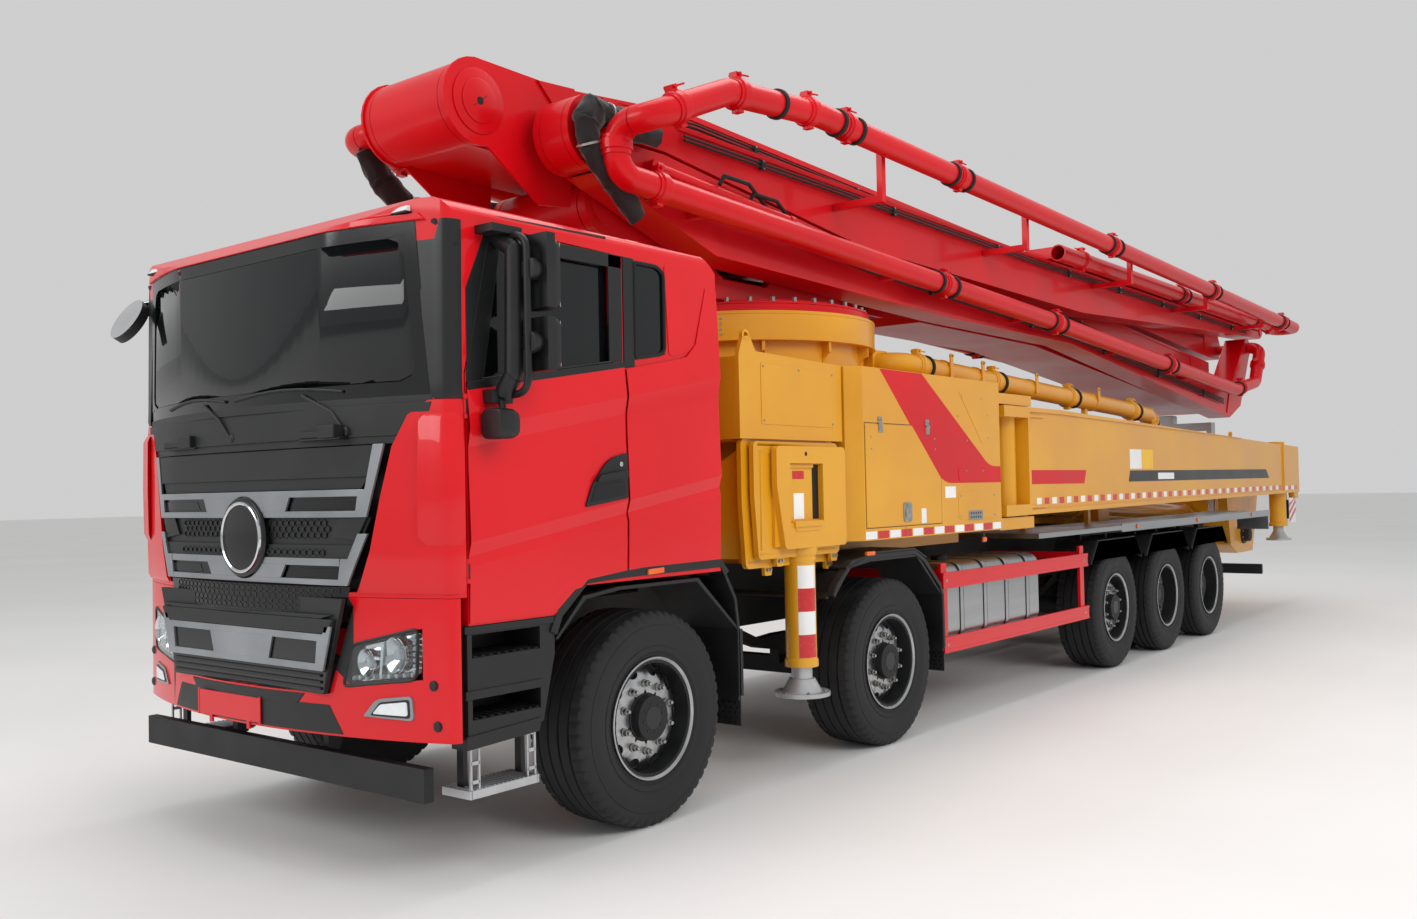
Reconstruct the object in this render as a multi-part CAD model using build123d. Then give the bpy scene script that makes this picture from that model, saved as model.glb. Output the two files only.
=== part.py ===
from build123d import *
import math
import os

# Concrete pump truck: five-axle carrier, six-section folding boom on a slewing turret, four outriggers.
# Millimetres. +Z up, +X the vehicle's left, +Y to the rear. Lengths along Y are counted from the first
# axle while modelling; at export the whole truck moves by ORIGIN_Y, so that the origin lies on the
# ground under the middle of the truck.

# --- overall ---
FRONT_Y = -1500.0
REAR_Y = 13450.0
ORIGIN_Y = -(FRONT_Y + REAR_Y) / 2
BODY_HALF = 1250.0
FIT = 0.3
GAP = 8.0

# --- wheels and axles ---
HUB_Z = 530.0
TYRE_R = 530.0
RIM_R = 300.0
AXLES = [
    # name, y, steered, twin
    ("1", 0.0, True, False),
    ("2", 2300.0, True, False),
    ("3", 6250.0, False, False),
    ("4", 7620.0, False, True),
    ("5", 8960.0, False, True),
]
TYRE_OUT_X = BODY_HALF - 5.0
SINGLE_W = 370.0
TWIN_W = 282.0
TWIN_GAP = 52.0
KING_X = TYRE_OUT_X - 345.0
KING_R = 30.0
SPINDLE_R = 55.0
HUB_R = 120.0
HUB_FACE_X = TYRE_OUT_X - 13.0

# --- chassis ---
RAIL_IN = 340.0
RAIL_OUT = 420.0
RAIL_Z0 = 760.0
RAIL_Z1 = 1060.0
RAIL_Y0 = -1200.0
RAIL_Y1 = 11500.0
FLANGE = 14.0

# --- cab ---
WALL = 60.0
CAB_REAR_Y = 530.0
CAB_CORNER_Y = -1260.0
CAB_CORNER_R = 60.0
ROOF_CORNER_R = 85.0
CAB_FLOOR_Z = 1250.0
ROOF_Z = 2900.0
ROOF_REAR_Z = 2850.0
SCREEN_Z0 = 2080.0
SCREEN_Z1 = 2790.0
SCREEN_HALF = BODY_HALF - 170.0
GRILLE_HALF_TOP = BODY_HALF - 150.0
GRILLE_HALF_LOW = BODY_HALF - 470.0
GRILLE_Z0 = 1240.0
DOOR_Y0 = -1185.0
DOOR_Y1 = -200.0
DOOR_Z0 = 1100.0
DOOR_Z1 = 2800.0
DOOR_GAP = 6.0
HINGE_R = 13.0
HINGE_PIN_R = 6.0
BELT_Z0 = 2100.0
BELT_Z1 = 2245.0
BUMPER_Z0 = 620.0
BUMPER_Z1 = 1218.0

SEAT_X = BODY_HALF - 630.0
DASH_HALF = BODY_HALF - 70.0
MIRROR_X = BODY_HALF + 190.0

# --- front outriggers ---
LEG_Y0 = 930.0
LEG_Y1 = 1790.0
LEG_Z0 = 1230.0
LEG_Z1 = 1930.0
HOUSE_X = BODY_HALF - 120.0
LEG_WALL = 25.0
LEG_TUBES = [
    # y0, y1, z0, z1 of each telescope tube, outermost first
    (LEG_Y0, LEG_Y1, LEG_Z0, LEG_Z1),
    (975.0, 1750.0, 1275.0, 1890.0),
    (1100.0, 1712.0, 1315.0, 1852.0),
]
JACK_Y = 1440.0
JACK_SLOT = 102.0
JACK_SLOT_X = HOUSE_X - 112.0
COLLAR_X = [(HOUSE_X - 30, HOUSE_X), (HOUSE_X + 20, HOUSE_X + 50), (HOUSE_X + 70, HOUSE_X + 105)]
FOOT_R = 165.0
FRONT_FOOT_Z = 430.0
FRONT_TUBE_Z0 = 600.0
JACK_TUBE_R = 92.0
JACK_ROD_R = 62.0

CORE_HALF = BODY_HALF - 370.0

# --- pedestal and slewing ring ---
SLEW_Y = 2440.0
PEDESTAL_R = 930.0
NECK_R = 850.0
PEDESTAL_Z0 = 2400.0
PEDESTAL_Z1 = 2790.0
RING_R = 890.0
RING_Z1 = 2840.0
TURRET_BASE_Z = 2880.0

# --- side covers ---
COVER_Y0 = 1920.0
COVER_Y1 = 3950.0
COVER_Z0 = 1310.0
COVER_Z1 = 2400.0
COVER_IN = BODY_HALF - 350.0

# --- rear outriggers ---
BEAM_IN = BODY_HALF - 310.0
BEAM_Y0 = 4020.0
BEAM_Y1 = 12860.0
BEAM_PIVOT_Y = 4320.0
BEAM_FRONT_Z = (1400.0, 2240.0)
BEAM_REAR_Z = (1460.0, 2050.0)
PIVOT_R = 90.0
REAR_JACK_Y = 12380.0
REAR_FOOT_Z = 850.0
REAR_TUBE_Z0 = 1030.0

# --- deck and pump ---
DECK_Y1 = 11400.0
DECK_Z = 1250.0
DECK_LINE_X = 850.0
REST_Z = 2450.0
HOPPER_Y0 = 11560.0
HOPPER_Y1 = 12960.0
HOPPER_HALF = 700.0
HOPPER_Z0 = 700.0
HOPPER_Z1 = 1430.0
HOPPER_WALL = 40.0
LID_PIN = (HOPPER_Y0 + 275.0, HOPPER_Z1 + 20.0)
LID_PIN_R = 9.0

# --- boom pins: y, z ---
PIN_ROOT = (600.0, 3300.0)
PIN_12 = (12250.0, 2850.0)
PIN_23 = (-300.0, 3710.0)
PIN_34 = (12700.0, 3380.0)
PIN_45 = (200.0, 3590.0)
PIN_56 = (13350.0, 3660.0)
ROOT_EYE_R = 165.0
EYE_12_R = 190.0
EYE_23_R = 220.0
EYE_34_R = 125.0
EYE_45_R = 200.0
EYE_56_R = 90.0
PIN_R = 60.0
EYE_CLEAR = 10.0
LANE_HALF = 330.0
NEAR_X0 = 440.0
NEAR_X1 = 700.0
CHEEK = 45.0
EDGE_PROUD = 12.0

# --- boom pipe ---
PIPE_R = 75.0
PIPE_BEND = 130.0
PIPE_IN_X = 860.0
PIPE_OUT_X = 1150.0
FAR_IN_X = -490.0
FAR_OUT_X = -780.0
FAR_SEAM = (FAR_IN_X + FAR_OUT_X) / 2
PIPE_BORE_R = 62.5
TIP_Y = 6050.0
TIP_Z = 3720.0

# --- lift cylinder ---
BARREL_PIN = (1850.0, 3020.0)
ROD_PIN = (4100.0, 3090.0)
BARREL_R = 105.0
ROD_R = 62.0
BARREL_LONG = 1900.0

NODES = {}


def box(x0, x1, y0, y1, z0, z1):
    """Block between opposite corners."""
    return Pos((x0 + x1) / 2, (y0 + y1) / 2, (z0 + z1) / 2) * Box(x1 - x0, y1 - y0, z1 - z0)


def side_plate(points, x0, x1):
    """Outline in the Y-Z plane, filled from x0 to x1."""
    face = make_face(Plane.YZ.offset(x0) * Polyline(*points, close=True))
    return extrude(face, amount=x1 - x0, dir=(1, 0, 0))


def front_plate(points, y0, y1):
    """Outline in the X-Z plane, filled from y0 to y1."""
    outline = Polyline(*[(x, y0, z) for x, z in points], close=True)
    return extrude(make_face(outline), amount=y1 - y0, dir=(0, 1, 0))


def plan_plate(points, z0, z1):
    """Outline in the X-Y plane, filled from z0 to z1."""
    return extrude(make_face(Plane.XY.offset(z0) * Polyline(*points, close=True)), amount=z1 - z0)


def rod_x(x0, x1, y, z, radius):
    """Round bar along X."""
    return Pos((x0 + x1) / 2, y, z) * Rot(0, 90, 0) * Cylinder(radius, abs(x1 - x0))


def rod_z(x, y, z0, z1, radius):
    """Round bar along Z."""
    return Pos(x, y, (z0 + z1) / 2) * Cylinder(radius, z1 - z0)


def rod_between(start, end, radius):
    """Round bar between two points."""
    a, b = Vector(*start), Vector(*end)
    plane = Plane(origin=a, z_dir=b - a)
    return extrude(plane * Circle(radius), amount=(b - a).length)


def pipe(points, radius, bend):
    """Round pipe along straight runs joined by tangent bends."""
    path = FilletPolyline(*points, radius=bend)
    return sweep(Plane(origin=path @ 0, z_dir=path % 0) * Circle(radius), path=path)


def turned_x(points, x_dir=1):
    """Outline of (x, radius) turned about the X axis; x grows to the outside of the truck."""
    face = make_face(Polyline(*[(x, 0, r) for x, r in points], close=True))
    solid = revolve(face, Axis.X)
    return solid if x_dir > 0 else mirror(solid, Plane.YZ)


def both(shape):
    """A piece and its mirror image on the other side."""
    return [shape, mirror(shape, Plane.YZ)]


def sides():
    return [("left", 1), ("right", -1)]


def on_side(shape, sign):
    return shape if sign > 0 else mirror(shape, Plane.YZ)


def add(node, *shapes):
    """Adds solids to a node."""
    NODES.setdefault(node, []).extend(s for shape in shapes for s in shape.solids())


# ---------------------------------------------------------------- chassis
def chassis():
    rail = box(RAIL_IN, RAIL_OUT, RAIL_Y0, RAIL_Y1, RAIL_Z0, RAIL_Z1)
    rail -= box(RAIL_IN, RAIL_OUT - FLANGE, RAIL_Y0, RAIL_Y1, RAIL_Z0 + FLANGE, RAIL_Z1 - FLANGE)
    frame = rail + mirror(rail, Plane.YZ)
    for y in (RAIL_Y0 + 60, 950, 1850, 3300, 4700, 5600, 7000, 8300, 9700, RAIL_Y1 - 200):
        frame += box(-RAIL_OUT + FLANGE / 2, RAIL_OUT - FLANGE / 2, y - 40, y + 40, RAIL_Z1 - 95, RAIL_Z1 - 5)
    hanger = side_plate(
        [(-1290, 500), (-1230, 500), (-1140, 780), (-1140, 900), (-1290, 900)], RAIL_OUT - 60, RAIL_OUT - 20
    )
    bar_half = BODY_HALF - 110
    bar = box(-bar_half, bar_half, -1340, -1290, 376, 519)
    frame += bar
    for piece in both(hanger):
        frame += piece
    subframe = box(RAIL_IN, RAIL_OUT, 800, RAIL_Y1, RAIL_Z1, DECK_Z - 40)
    for piece in both(subframe):
        frame += piece
    rear_bar = box(120 - BODY_HALF, BODY_HALF - 120, RAIL_Y1 - 100, RAIL_Y1 - 50, 480, 600)
    for piece in both(box(RAIL_IN, RAIL_OUT, RAIL_Y1 - 110, RAIL_Y1 - 30, 500, RAIL_Z0)):
        rear_bar += piece
    frame += rear_bar
    for y in (-1100, 350):
        for piece in both(box(RAIL_IN, RAIL_OUT, y, y + 100, RAIL_Z1, CAB_FLOOR_Z - 30)):
            frame += piece
    add("chassis_frame", frame)


def axles():
    for name, y, steered, twin in AXLES:
        if steered:
            beam = box(-KING_X + 60, KING_X - 60, y - 45, y + 45, HUB_Z - 130, HUB_Z - 20)
            for sign in (1, -1):
                eye = rod_z(sign * KING_X, y, HUB_Z - 60, HUB_Z + 60, 62)
                arm = box(-50, 50, y - 45, y + 45, HUB_Z - 60, HUB_Z + 20)
                beam += Pos(sign * (KING_X - 60), 0, 0) * arm
                beam += eye
                beam -= rod_z(sign * KING_X, y, HUB_Z - 200, HUB_Z + 200, KING_R + FIT)
        else:
            beam = rod_x(-KING_X - 65, KING_X + 65, y, HUB_Z, 75)
            if twin:
                beam += Pos(0, y, HUB_Z) * Sphere(235)
                beam += rod_x(-300, 300, y, HUB_Z, 120)
            for sign in (1, -1):
                beam += rod_x(sign * (KING_X + 60), sign * (KING_X + 250), y, HUB_Z, SPINDLE_R)
        leaf_z = HUB_Z + 30
        for sign in (1, -1):
            x0, x1 = sorted((sign * (RAIL_IN + 2), sign * (RAIL_OUT - 2)))
            seat = box(x0, x1, y - 90, y + 90, HUB_Z - 60, leaf_z + 20)
            spring = side_plate(
                [
                    (y - 620, RAIL_Z0 - 60), (y - 300, leaf_z + 35), (y - 90, leaf_z), (y + 90, leaf_z),
                    (y + 300, leaf_z + 35), (y + 620, RAIL_Z0 - 60), (y + 620, RAIL_Z0), (y + 560, RAIL_Z0),
                    (y + 300, leaf_z + 95), (y + 90, leaf_z + 110), (y - 90, leaf_z + 110),
                    (y - 300, leaf_z + 95),
                    (y - 560, RAIL_Z0), (y - 620, RAIL_Z0),
                ],
                x0, x1,
            )
            beam += seat
            beam += spring
        if name == "4":
            beam += rod_between((0, 690, 900), (0, y - 200, 630), 55)
            beam += box(-RAIL_IN, RAIL_IN, -900, 700, 640, CAB_FLOOR_Z - 50)
        add("axles", beam)


def knuckles():
    for name, y, steered, twin in AXLES:
        if not steered:
            continue
        for side, sign in sides():
            body = rod_z(KING_X, y, HUB_Z - 92, HUB_Z + 92, KING_R)
            for z0, z1 in ((HUB_Z + 62, HUB_Z + 92), (HUB_Z - 92, HUB_Z - 62)):
                body += box(KING_X - 38, KING_X + 110, y - 38, y + 38, z0, z1)
            body += box(KING_X + 70, KING_X + 110, y - 60, y + 60, HUB_Z - 92, HUB_Z + 92)
            body += rod_x(KING_X + 105, HUB_FACE_X - 60, y, HUB_Z, SPINDLE_R)
            add(f"knuckle_{name}_{side}", on_side(body, sign))


# ---------------------------------------------------------------- wheels
def tyre_ring(x_out, width):
    """Tyre with rounded shoulders, open at the rim."""
    x_in = x_out - width
    bead = 18.0
    return turned_x(
        [
            (x_in + bead, RIM_R - 8), (x_in, RIM_R + 35), (x_in, TYRE_R - 70), (x_in + 22, TYRE_R - 18),
            (x_in + 60, TYRE_R), (x_out - 60, TYRE_R), (x_out - 22, TYRE_R - 18), (x_out, TYRE_R - 70),
            (x_out, RIM_R + 35), (x_out - bead, RIM_R - 8),
        ]
    )


def rim_barrel(x_out, width):
    x0, x1 = x_out - width + 22, x_out - 20
    return turned_x([(x0, RIM_R - 30), (x0, RIM_R - 9), (x1, RIM_R - 9), (x1, RIM_R - 30)])


def wheels():
    bore = SPINDLE_R + FIT
    for name, y, steered, twin in AXLES:
        width = TWIN_W if twin else SINGLE_W
        tyres = tyre_ring(TYRE_OUT_X, width)
        rim = rim_barrel(TYRE_OUT_X, width)
        tyre_parts = [tyres]
        if twin:
            inner = TYRE_OUT_X - TWIN_W - TWIN_GAP
            tyre_parts.append(tyre_ring(inner, TWIN_W))
            rim += rim_barrel(inner, TWIN_W)
            rim += turned_x(
                [(inner - 20, RIM_R - 30), (inner - 20, RIM_R - 9), (TYRE_OUT_X - width + 22, RIM_R - 9),
                 (TYRE_OUT_X - width + 22, RIM_R - 30)]
            )
            disc_x = TYRE_OUT_X - 175
            rim += turned_x([(disc_x - 25, HUB_R - 5), (disc_x - 25, RIM_R - 25), (disc_x, RIM_R - 25),
                             (disc_x, HUB_R - 5)])
            rim += turned_x([(disc_x - 90, bore), (disc_x - 90, HUB_R), (disc_x + 95, HUB_R - 10),
                             (disc_x + 95, bore)])
        else:
            disc_x = TYRE_OUT_X - 75
            rim += turned_x([(disc_x - 25, HUB_R - 5), (disc_x - 70, RIM_R - 25),
                             (disc_x - 45, RIM_R - 25), (disc_x, HUB_R - 5)])
            rim += turned_x([(disc_x - 120, bore), (disc_x - 120, HUB_R), (disc_x + 55, HUB_R - 10),
                             (disc_x + 55, bore)])
        for side, sign in sides():
            for piece in tyre_parts:
                add(f"tyre_{name}_{side}", Pos(0, y, HUB_Z) * on_side(piece, sign))
            add(f"rim_{name}_{side}", Pos(0, y, HUB_Z) * on_side(rim, sign))


# ---------------------------------------------------------------- cab
def cab_plan(inset, z0, z1):
    """Cab footprint with its bowed front, drawn in by inset, from z0 to z1."""
    half = BODY_HALF - inset
    corner = CAB_CORNER_Y + inset
    front = ThreePointArc((-half, corner, z0), (0, FRONT_Y + 15 + inset, z0), (half, corner, z0))
    rest = Polyline((half, corner, z0), (half, CAB_REAR_Y - inset, z0), (-half, CAB_REAR_Y - inset, z0),
                    (-half, corner, z0))
    face = make_face([front, rest])
    corners = [v for v in face.vertices() if v.Y < corner + 1]
    return extrude(fillet(corners, CAB_CORNER_R - inset / 2), amount=z1 - z0, dir=(0, 0, 1))


def cab_front_profile(inset):
    """Front view of the cab with its rounded roof edges, drawn in by inset."""
    half = BODY_HALF - inset
    face = make_face(Polyline((-half, FRONT_Y - 50, 0), (half, FRONT_Y - 50, 0),
                              (half, FRONT_Y - 50, ROOF_Z - inset),
                              (-half, FRONT_Y - 50, ROOF_Z - inset), close=True))
    top = [v for v in face.vertices() if v.Z > 100]
    return extrude(fillet(top, ROOF_CORNER_R - inset / 2), amount=CAB_REAR_Y - FRONT_Y + 200, dir=(0, 1, 0))


def cab_side_profile(inset):
    """Side view of the cab from floor to roof, drawn in by inset."""
    i = inset
    points = [
        (FRONT_Y + i, CAB_FLOOR_Z - 30 + i), (FRONT_Y + i, SCREEN_Z0), (FRONT_Y + 70 + i, SCREEN_Z1 + 20),
        (FRONT_Y + 190 + i, ROOF_Z - i), (CAB_REAR_Y - 90 - i, ROOF_REAR_Z + 20 - i),
        (CAB_REAR_Y - i, ROOF_REAR_Z - 60 - i), (CAB_REAR_Y - i, CAB_FLOOR_Z - 30 + i),
    ]
    return side_plate(points, -BODY_HALF - 10 + i, BODY_HALF + 10 - i)


def door_outline(grow):
    g = grow
    return [
        (DOOR_Y0 - g, DOOR_Z0 - g), (-640 + g / 2, DOOR_Z0 - g), (-470 + g / 2, DOOR_Z0 + 140 - g),
        (DOOR_Y1 + g, DOOR_Z0 + 165 - g),
        (DOOR_Y1 + g, DOOR_Z1 - 20 + g), (DOOR_Y0 + 150 - g, DOOR_Z1 + g), (DOOR_Y0 - g, BELT_Z0 + 60),
    ]


def door_window(grow):
    g = grow
    return [
        (DOOR_Y0 + 90 - g, BELT_Z0 - g), (DOOR_Y1 - 75 + g, BELT_Z1 - 30 - g),
        (DOOR_Y1 - 75 + g, DOOR_Z1 - 75 + g),
        (DOOR_Y0 + 200 - g, DOOR_Z1 - 65 + g),
    ]


def grille_outline(grow):
    g = grow
    return [
        (-GRILLE_HALF_TOP - g, SCREEN_Z0 - 40 + g), (-GRILLE_HALF_TOP - g, 1870),
        (-GRILLE_HALF_LOW - g, GRILLE_Z0 - g),
        (GRILLE_HALF_LOW + g, GRILLE_Z0 - g), (GRILLE_HALF_TOP + g, 1870),
        (GRILLE_HALF_TOP + g, SCREEN_Z0 - 40 + g),
    ]


def screen_outline(grow):
    g = grow
    return [
        (-SCREEN_HALF - 60 - g, SCREEN_Z0 - g), (SCREEN_HALF + 60 + g, SCREEN_Z0 - g),
        (SCREEN_HALF + g, SCREEN_Z1 + g), (-SCREEN_HALF - g, SCREEN_Z1 + g),
    ]


QUARTER_WINDOW = [(-120, 2290), (110, 2330), (110, 2745), (60, 2775), (-120, 2775)]


def cab():
    outer = cab_side_profile(0) & cab_plan(0, CAB_FLOOR_Z - 40, ROOF_Z + 10) & cab_front_profile(0)
    inner = cab_side_profile(WALL) & cab_plan(WALL, CAB_FLOOR_Z - 40, ROOF_Z + 10) & cab_front_profile(WALL)
    shell = outer - inner
    grille_zone = front_plate(grille_outline(0), FRONT_Y - 50, FRONT_Y + 300)
    screen_zone = front_plate(screen_outline(0), FRONT_Y - 50, FRONT_Y + 340)
    glass = shell & screen_zone
    shell = shell - screen_zone - front_plate(grille_outline(0), FRONT_Y - 50, FRONT_Y + 300)
    doors = {}
    for side, sign in sides():
        x0, x1 = sorted((sign * (BODY_HALF - WALL), sign * (BODY_HALF + 30)))
        opening = side_plate(door_outline(DOOR_GAP), x0 - 15, x1 + 15)
        shell -= opening
        quarter = side_plate(QUARTER_WINDOW, x0 - 15, x1 + 15)
        shell -= quarter
        door_zone = side_plate(door_outline(0), x0, x1)
        doors[side] = (outer_skin() & door_zone) - side_plate(door_window(0), x0 - 15, x1 + 15)
        pane_x = sorted((sign * (BODY_HALF - 38), sign * (BODY_HALF - 30)))
        add("cab_glass", side_plate(QUARTER_WINDOW, *pane_x))
        shell, doors[side] = door_hinges(shell, doors[side], sign)
        add(f"door_{side}", doors[side])
        add(f"door_{side}", side_plate(door_window(0), *pane_x))
    rear_window = box(-700, 700, CAB_REAR_Y - 100, CAB_REAR_Y + 10, 2150, 2650)
    shell -= rear_window
    add("cab_glass", box(-700, 700, CAB_REAR_Y - 36, CAB_REAR_Y - 28, 2150, 2650))
    windscreen = glass - (cab_side_profile(8) & cab_plan(8, CAB_FLOOR_Z - 40, ROOF_Z + 10))
    add("cab_glass", windscreen)
    shell += pipe([(-BODY_HALF + 5, -1215, 2735), (-BODY_HALF - 90, -1255, 2725),
                   (-BODY_HALF - 90, -1310, 2650)], 13, 25)
    shell += Pos(-BODY_HALF - 90, -1318, 2625) * Rot(60, 0, -35) * Cylinder(125, 50)
    add("cab_shell", shell)
    panel = (outer - inner) & grille_zone
    for z0, z1 in ((1290, 1370), (1400, 1560), (1590, 1680)):
        slot_half = GRILLE_HALF_LOW - 40 + (z0 - GRILLE_Z0) * 0.25
        panel -= box(-slot_half, slot_half, FRONT_Y - 20, FRONT_Y + 40, z0, z1)
    add("front_grille", panel)


def door_hinges(shell, door, sign):
    """Two hinges on the door's front edge, with their pins on the cab."""
    x, y = sign * BODY_HALF, DOOR_Y0 - DOOR_GAP / 2
    for z in (1330, 2020):
        door += rod_z(x, y, z - 30, z + 30, HINGE_R)
        for z0, z1 in ((z - 52, z - 32), (z + 32, z + 52)):
            door -= rod_z(x, y, z0 - 2, z1 + 2, HINGE_R + 2)
            shell += rod_z(x, y, z0, z1, HINGE_R)
        shell -= rod_z(x, y, z - 32, z + 32, HINGE_R + 2)
        door -= rod_z(x, y, z - 60, z + 60, HINGE_PIN_R + FIT)
        shell += rod_z(x, y, z - 52, z + 52, HINGE_PIN_R)
    return shell, door


def outer_skin():
    """Doors lie in the flat sides of the cab."""
    slab = box(BODY_HALF - WALL, BODY_HALF, DOOR_Y0 - 50, DOOR_Y1 + 50, DOOR_Z0 - 50, DOOR_Z1 + 50)
    return slab + mirror(slab, Plane.YZ)


def bumper():
    whole = cab_plan(0, BUMPER_Z0, BUMPER_Z1)
    hollow = cab_plan(WALL, BUMPER_Z0 - 10, BUMPER_Z1 + 10) + box(
        -2000, 2000, -1225, CAB_REAR_Y + 50, BUMPER_Z0 - 10, BUMPER_Z1 + 10
    )
    skin = whole - hollow
    mouth = front_plate([(-760, 1180), (-620, 800), (620, 800), (760, 1180)], FRONT_Y - 50, FRONT_Y + 400)
    skin -= mouth
    lip = front_plate([(-760, 1215), (-620, 800), (620, 800), (760, 1215)], FRONT_Y + 40, FRONT_Y + 60)
    lamp = front_plate([(740, 845), (760, 1015), (1105, 1095), (1105, 880)], FRONT_Y - 50, FRONT_Y + 400)
    pod = skin & lamp
    lower = skin - lamp - mirror(lamp, Plane.YZ)
    stay = box(RAIL_IN, RAIL_OUT, FRONT_Y + 60, RAIL_Y0, 905, 1050)
    add("bumper", lower, lip + stay + mirror(stay, Plane.YZ))
    add("headlamps", pod, mirror(pod, Plane.YZ))


def cab_interior():
    floor = CAB_FLOOR_Z - 30 + WALL
    for x in (-SEAT_X, SEAT_X):
        seat = box(x - 270, x + 270, -560, -60, floor, 1700)
        seat += Pos(x, -20, 2010) * Rot(-10, 0, 0) * Box(520, 130, 780)
        add("cab_interior", seat)
    dash = box(-DASH_HALF, DASH_HALF, -1190, -1000, 1550, 2040) + box(-200, 200, -1190, -1000, floor, 1560)
    dash += rod_between((SEAT_X, -1040, 1820), (SEAT_X, -772, 2088), 35)
    wheel_plane = Plane(origin=(SEAT_X, -770, 2090), z_dir=(0, 0.7, 0.75))
    dash += wheel_plane * Torus(215, 17)
    dash += wheel_plane * Box(430, 40, 22)
    add("cab_interior", dash)


def steps_and_mudguards():
    for side, sign in sides():
        guards = None
        for y0, front, rear, top in ((0.0, 665, 665, 1180), (2300.0, 670, 660, 1180)):
            guard = side_plate(
                [
                    (y0 - front, 990), (y0 - front + 180, top - 25), (y0 - 250, top), (y0 + 330, top),
                    (y0 + rear, 900), (y0 + rear, 520), (y0 + rear + 14, 520), (y0 + rear + 14, 905),
                    (y0 + 345, top + 16), (y0 - 260, top + 16), (y0 - front + 165, top - 10),
                    (y0 - front - 16, 993),
                ],
                BODY_HALF - 380, BODY_HALF - 2,
            )
            guard += rod_x(RAIL_OUT, BODY_HALF - 40, y0 + rear + 25, 880, 18)
            guard += rod_x(RAIL_OUT, BODY_HALF - 40, y0 - front - 22, 1000, 18)
            guards = guard if guards is None else guards + guard
        rear_guards = box(BODY_HALF - 250, BODY_HALF - 210, AXLES[2][1] - 315, AXLES[-1][1] + 315,
                          DECK_Z - 80, DECK_Z - 40 - FIT)
        for name, y0, steered, twin in AXLES[2:]:
            guard = side_plate(
                [(y0 - 590, 960), (y0 - 440, 1120), (y0 + 440, 1120), (y0 + 590, 960), (y0 + 604, 966),
                 (y0 + 446, 1134),
                 (y0 - 446, 1134), (y0 - 604, 966)],
                BODY_HALF - 5 - (2 * TWIN_W + TWIN_GAP if twin else SINGLE_W), BODY_HALF - 2,
            )
            for y in (y0 - 300, y0 + 300):
                guard += box(BODY_HALF - 250, BODY_HALF - 210, y - 15, y + 15, 1130, DECK_Z - 60)
            rear_guards += guard
        add("steps_mudguards", on_side(rear_guards, sign))
        step = side_plate(
            [(-1190, 1085), (-685, 1085), (-685, 930), (-760, 640), (-1190, 610)], BODY_HALF - 320,
            BODY_HALF - 5
        )
        for z in (960, 700):
            step -= box(BODY_HALF - 240, BODY_HALF + 5, -1165, -775, z, z + 100)
        step += box(RAIL_OUT, BODY_HALF - 315, -1190, -1130, 960, 1050)
        for y in (-1130, -800):
            step += box(BODY_HALF - 140, BODY_HALF - 100, y - 12, y + 12, 390, 640)
        step += box(BODY_HALF - 210, BODY_HALF - 30, -1150, -780, 380, 405)
        add("steps_mudguards", on_side(guards + step, sign))


# ---------------------------------------------------------------- carrier sides
def tanks_and_lockers():
    tank = box(BODY_HALF - 560, BODY_HALF - 40, 3120, 4640, 560, 1100)
    tank = fillet(tank.edges().filter_by(Axis.Y), 90)
    add("deck_and_tanks", tank, mirror(tank, Plane.YZ))
    for sign in (1, -1):
        for y in (3350, 4350):
            x0, x1 = sorted((sign * RAIL_OUT, sign * (BODY_HALF - 560)))
            add("deck_and_tanks", box(x0, x1, y - 40, y + 40, 780, 880))


def side_guards():
    for sign in (1, -1):
        guard = None
        for z in (990, 550):
            rail = box(BODY_HALF - 28, BODY_HALF - 4, 3000, 5580, z - 55, z + 55)
            guard = rail if guard is None else guard + rail
        for y in (3050, 5500):
            guard += box(BODY_HALF - 50, BODY_HALF - 26, y - 40, y + 40, 500, 1110)
            guard += box(RAIL_OUT, BODY_HALF - 40, y - 30, y + 30, 1000, 1060)
        add("side_guards", on_side(guard, sign))


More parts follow.
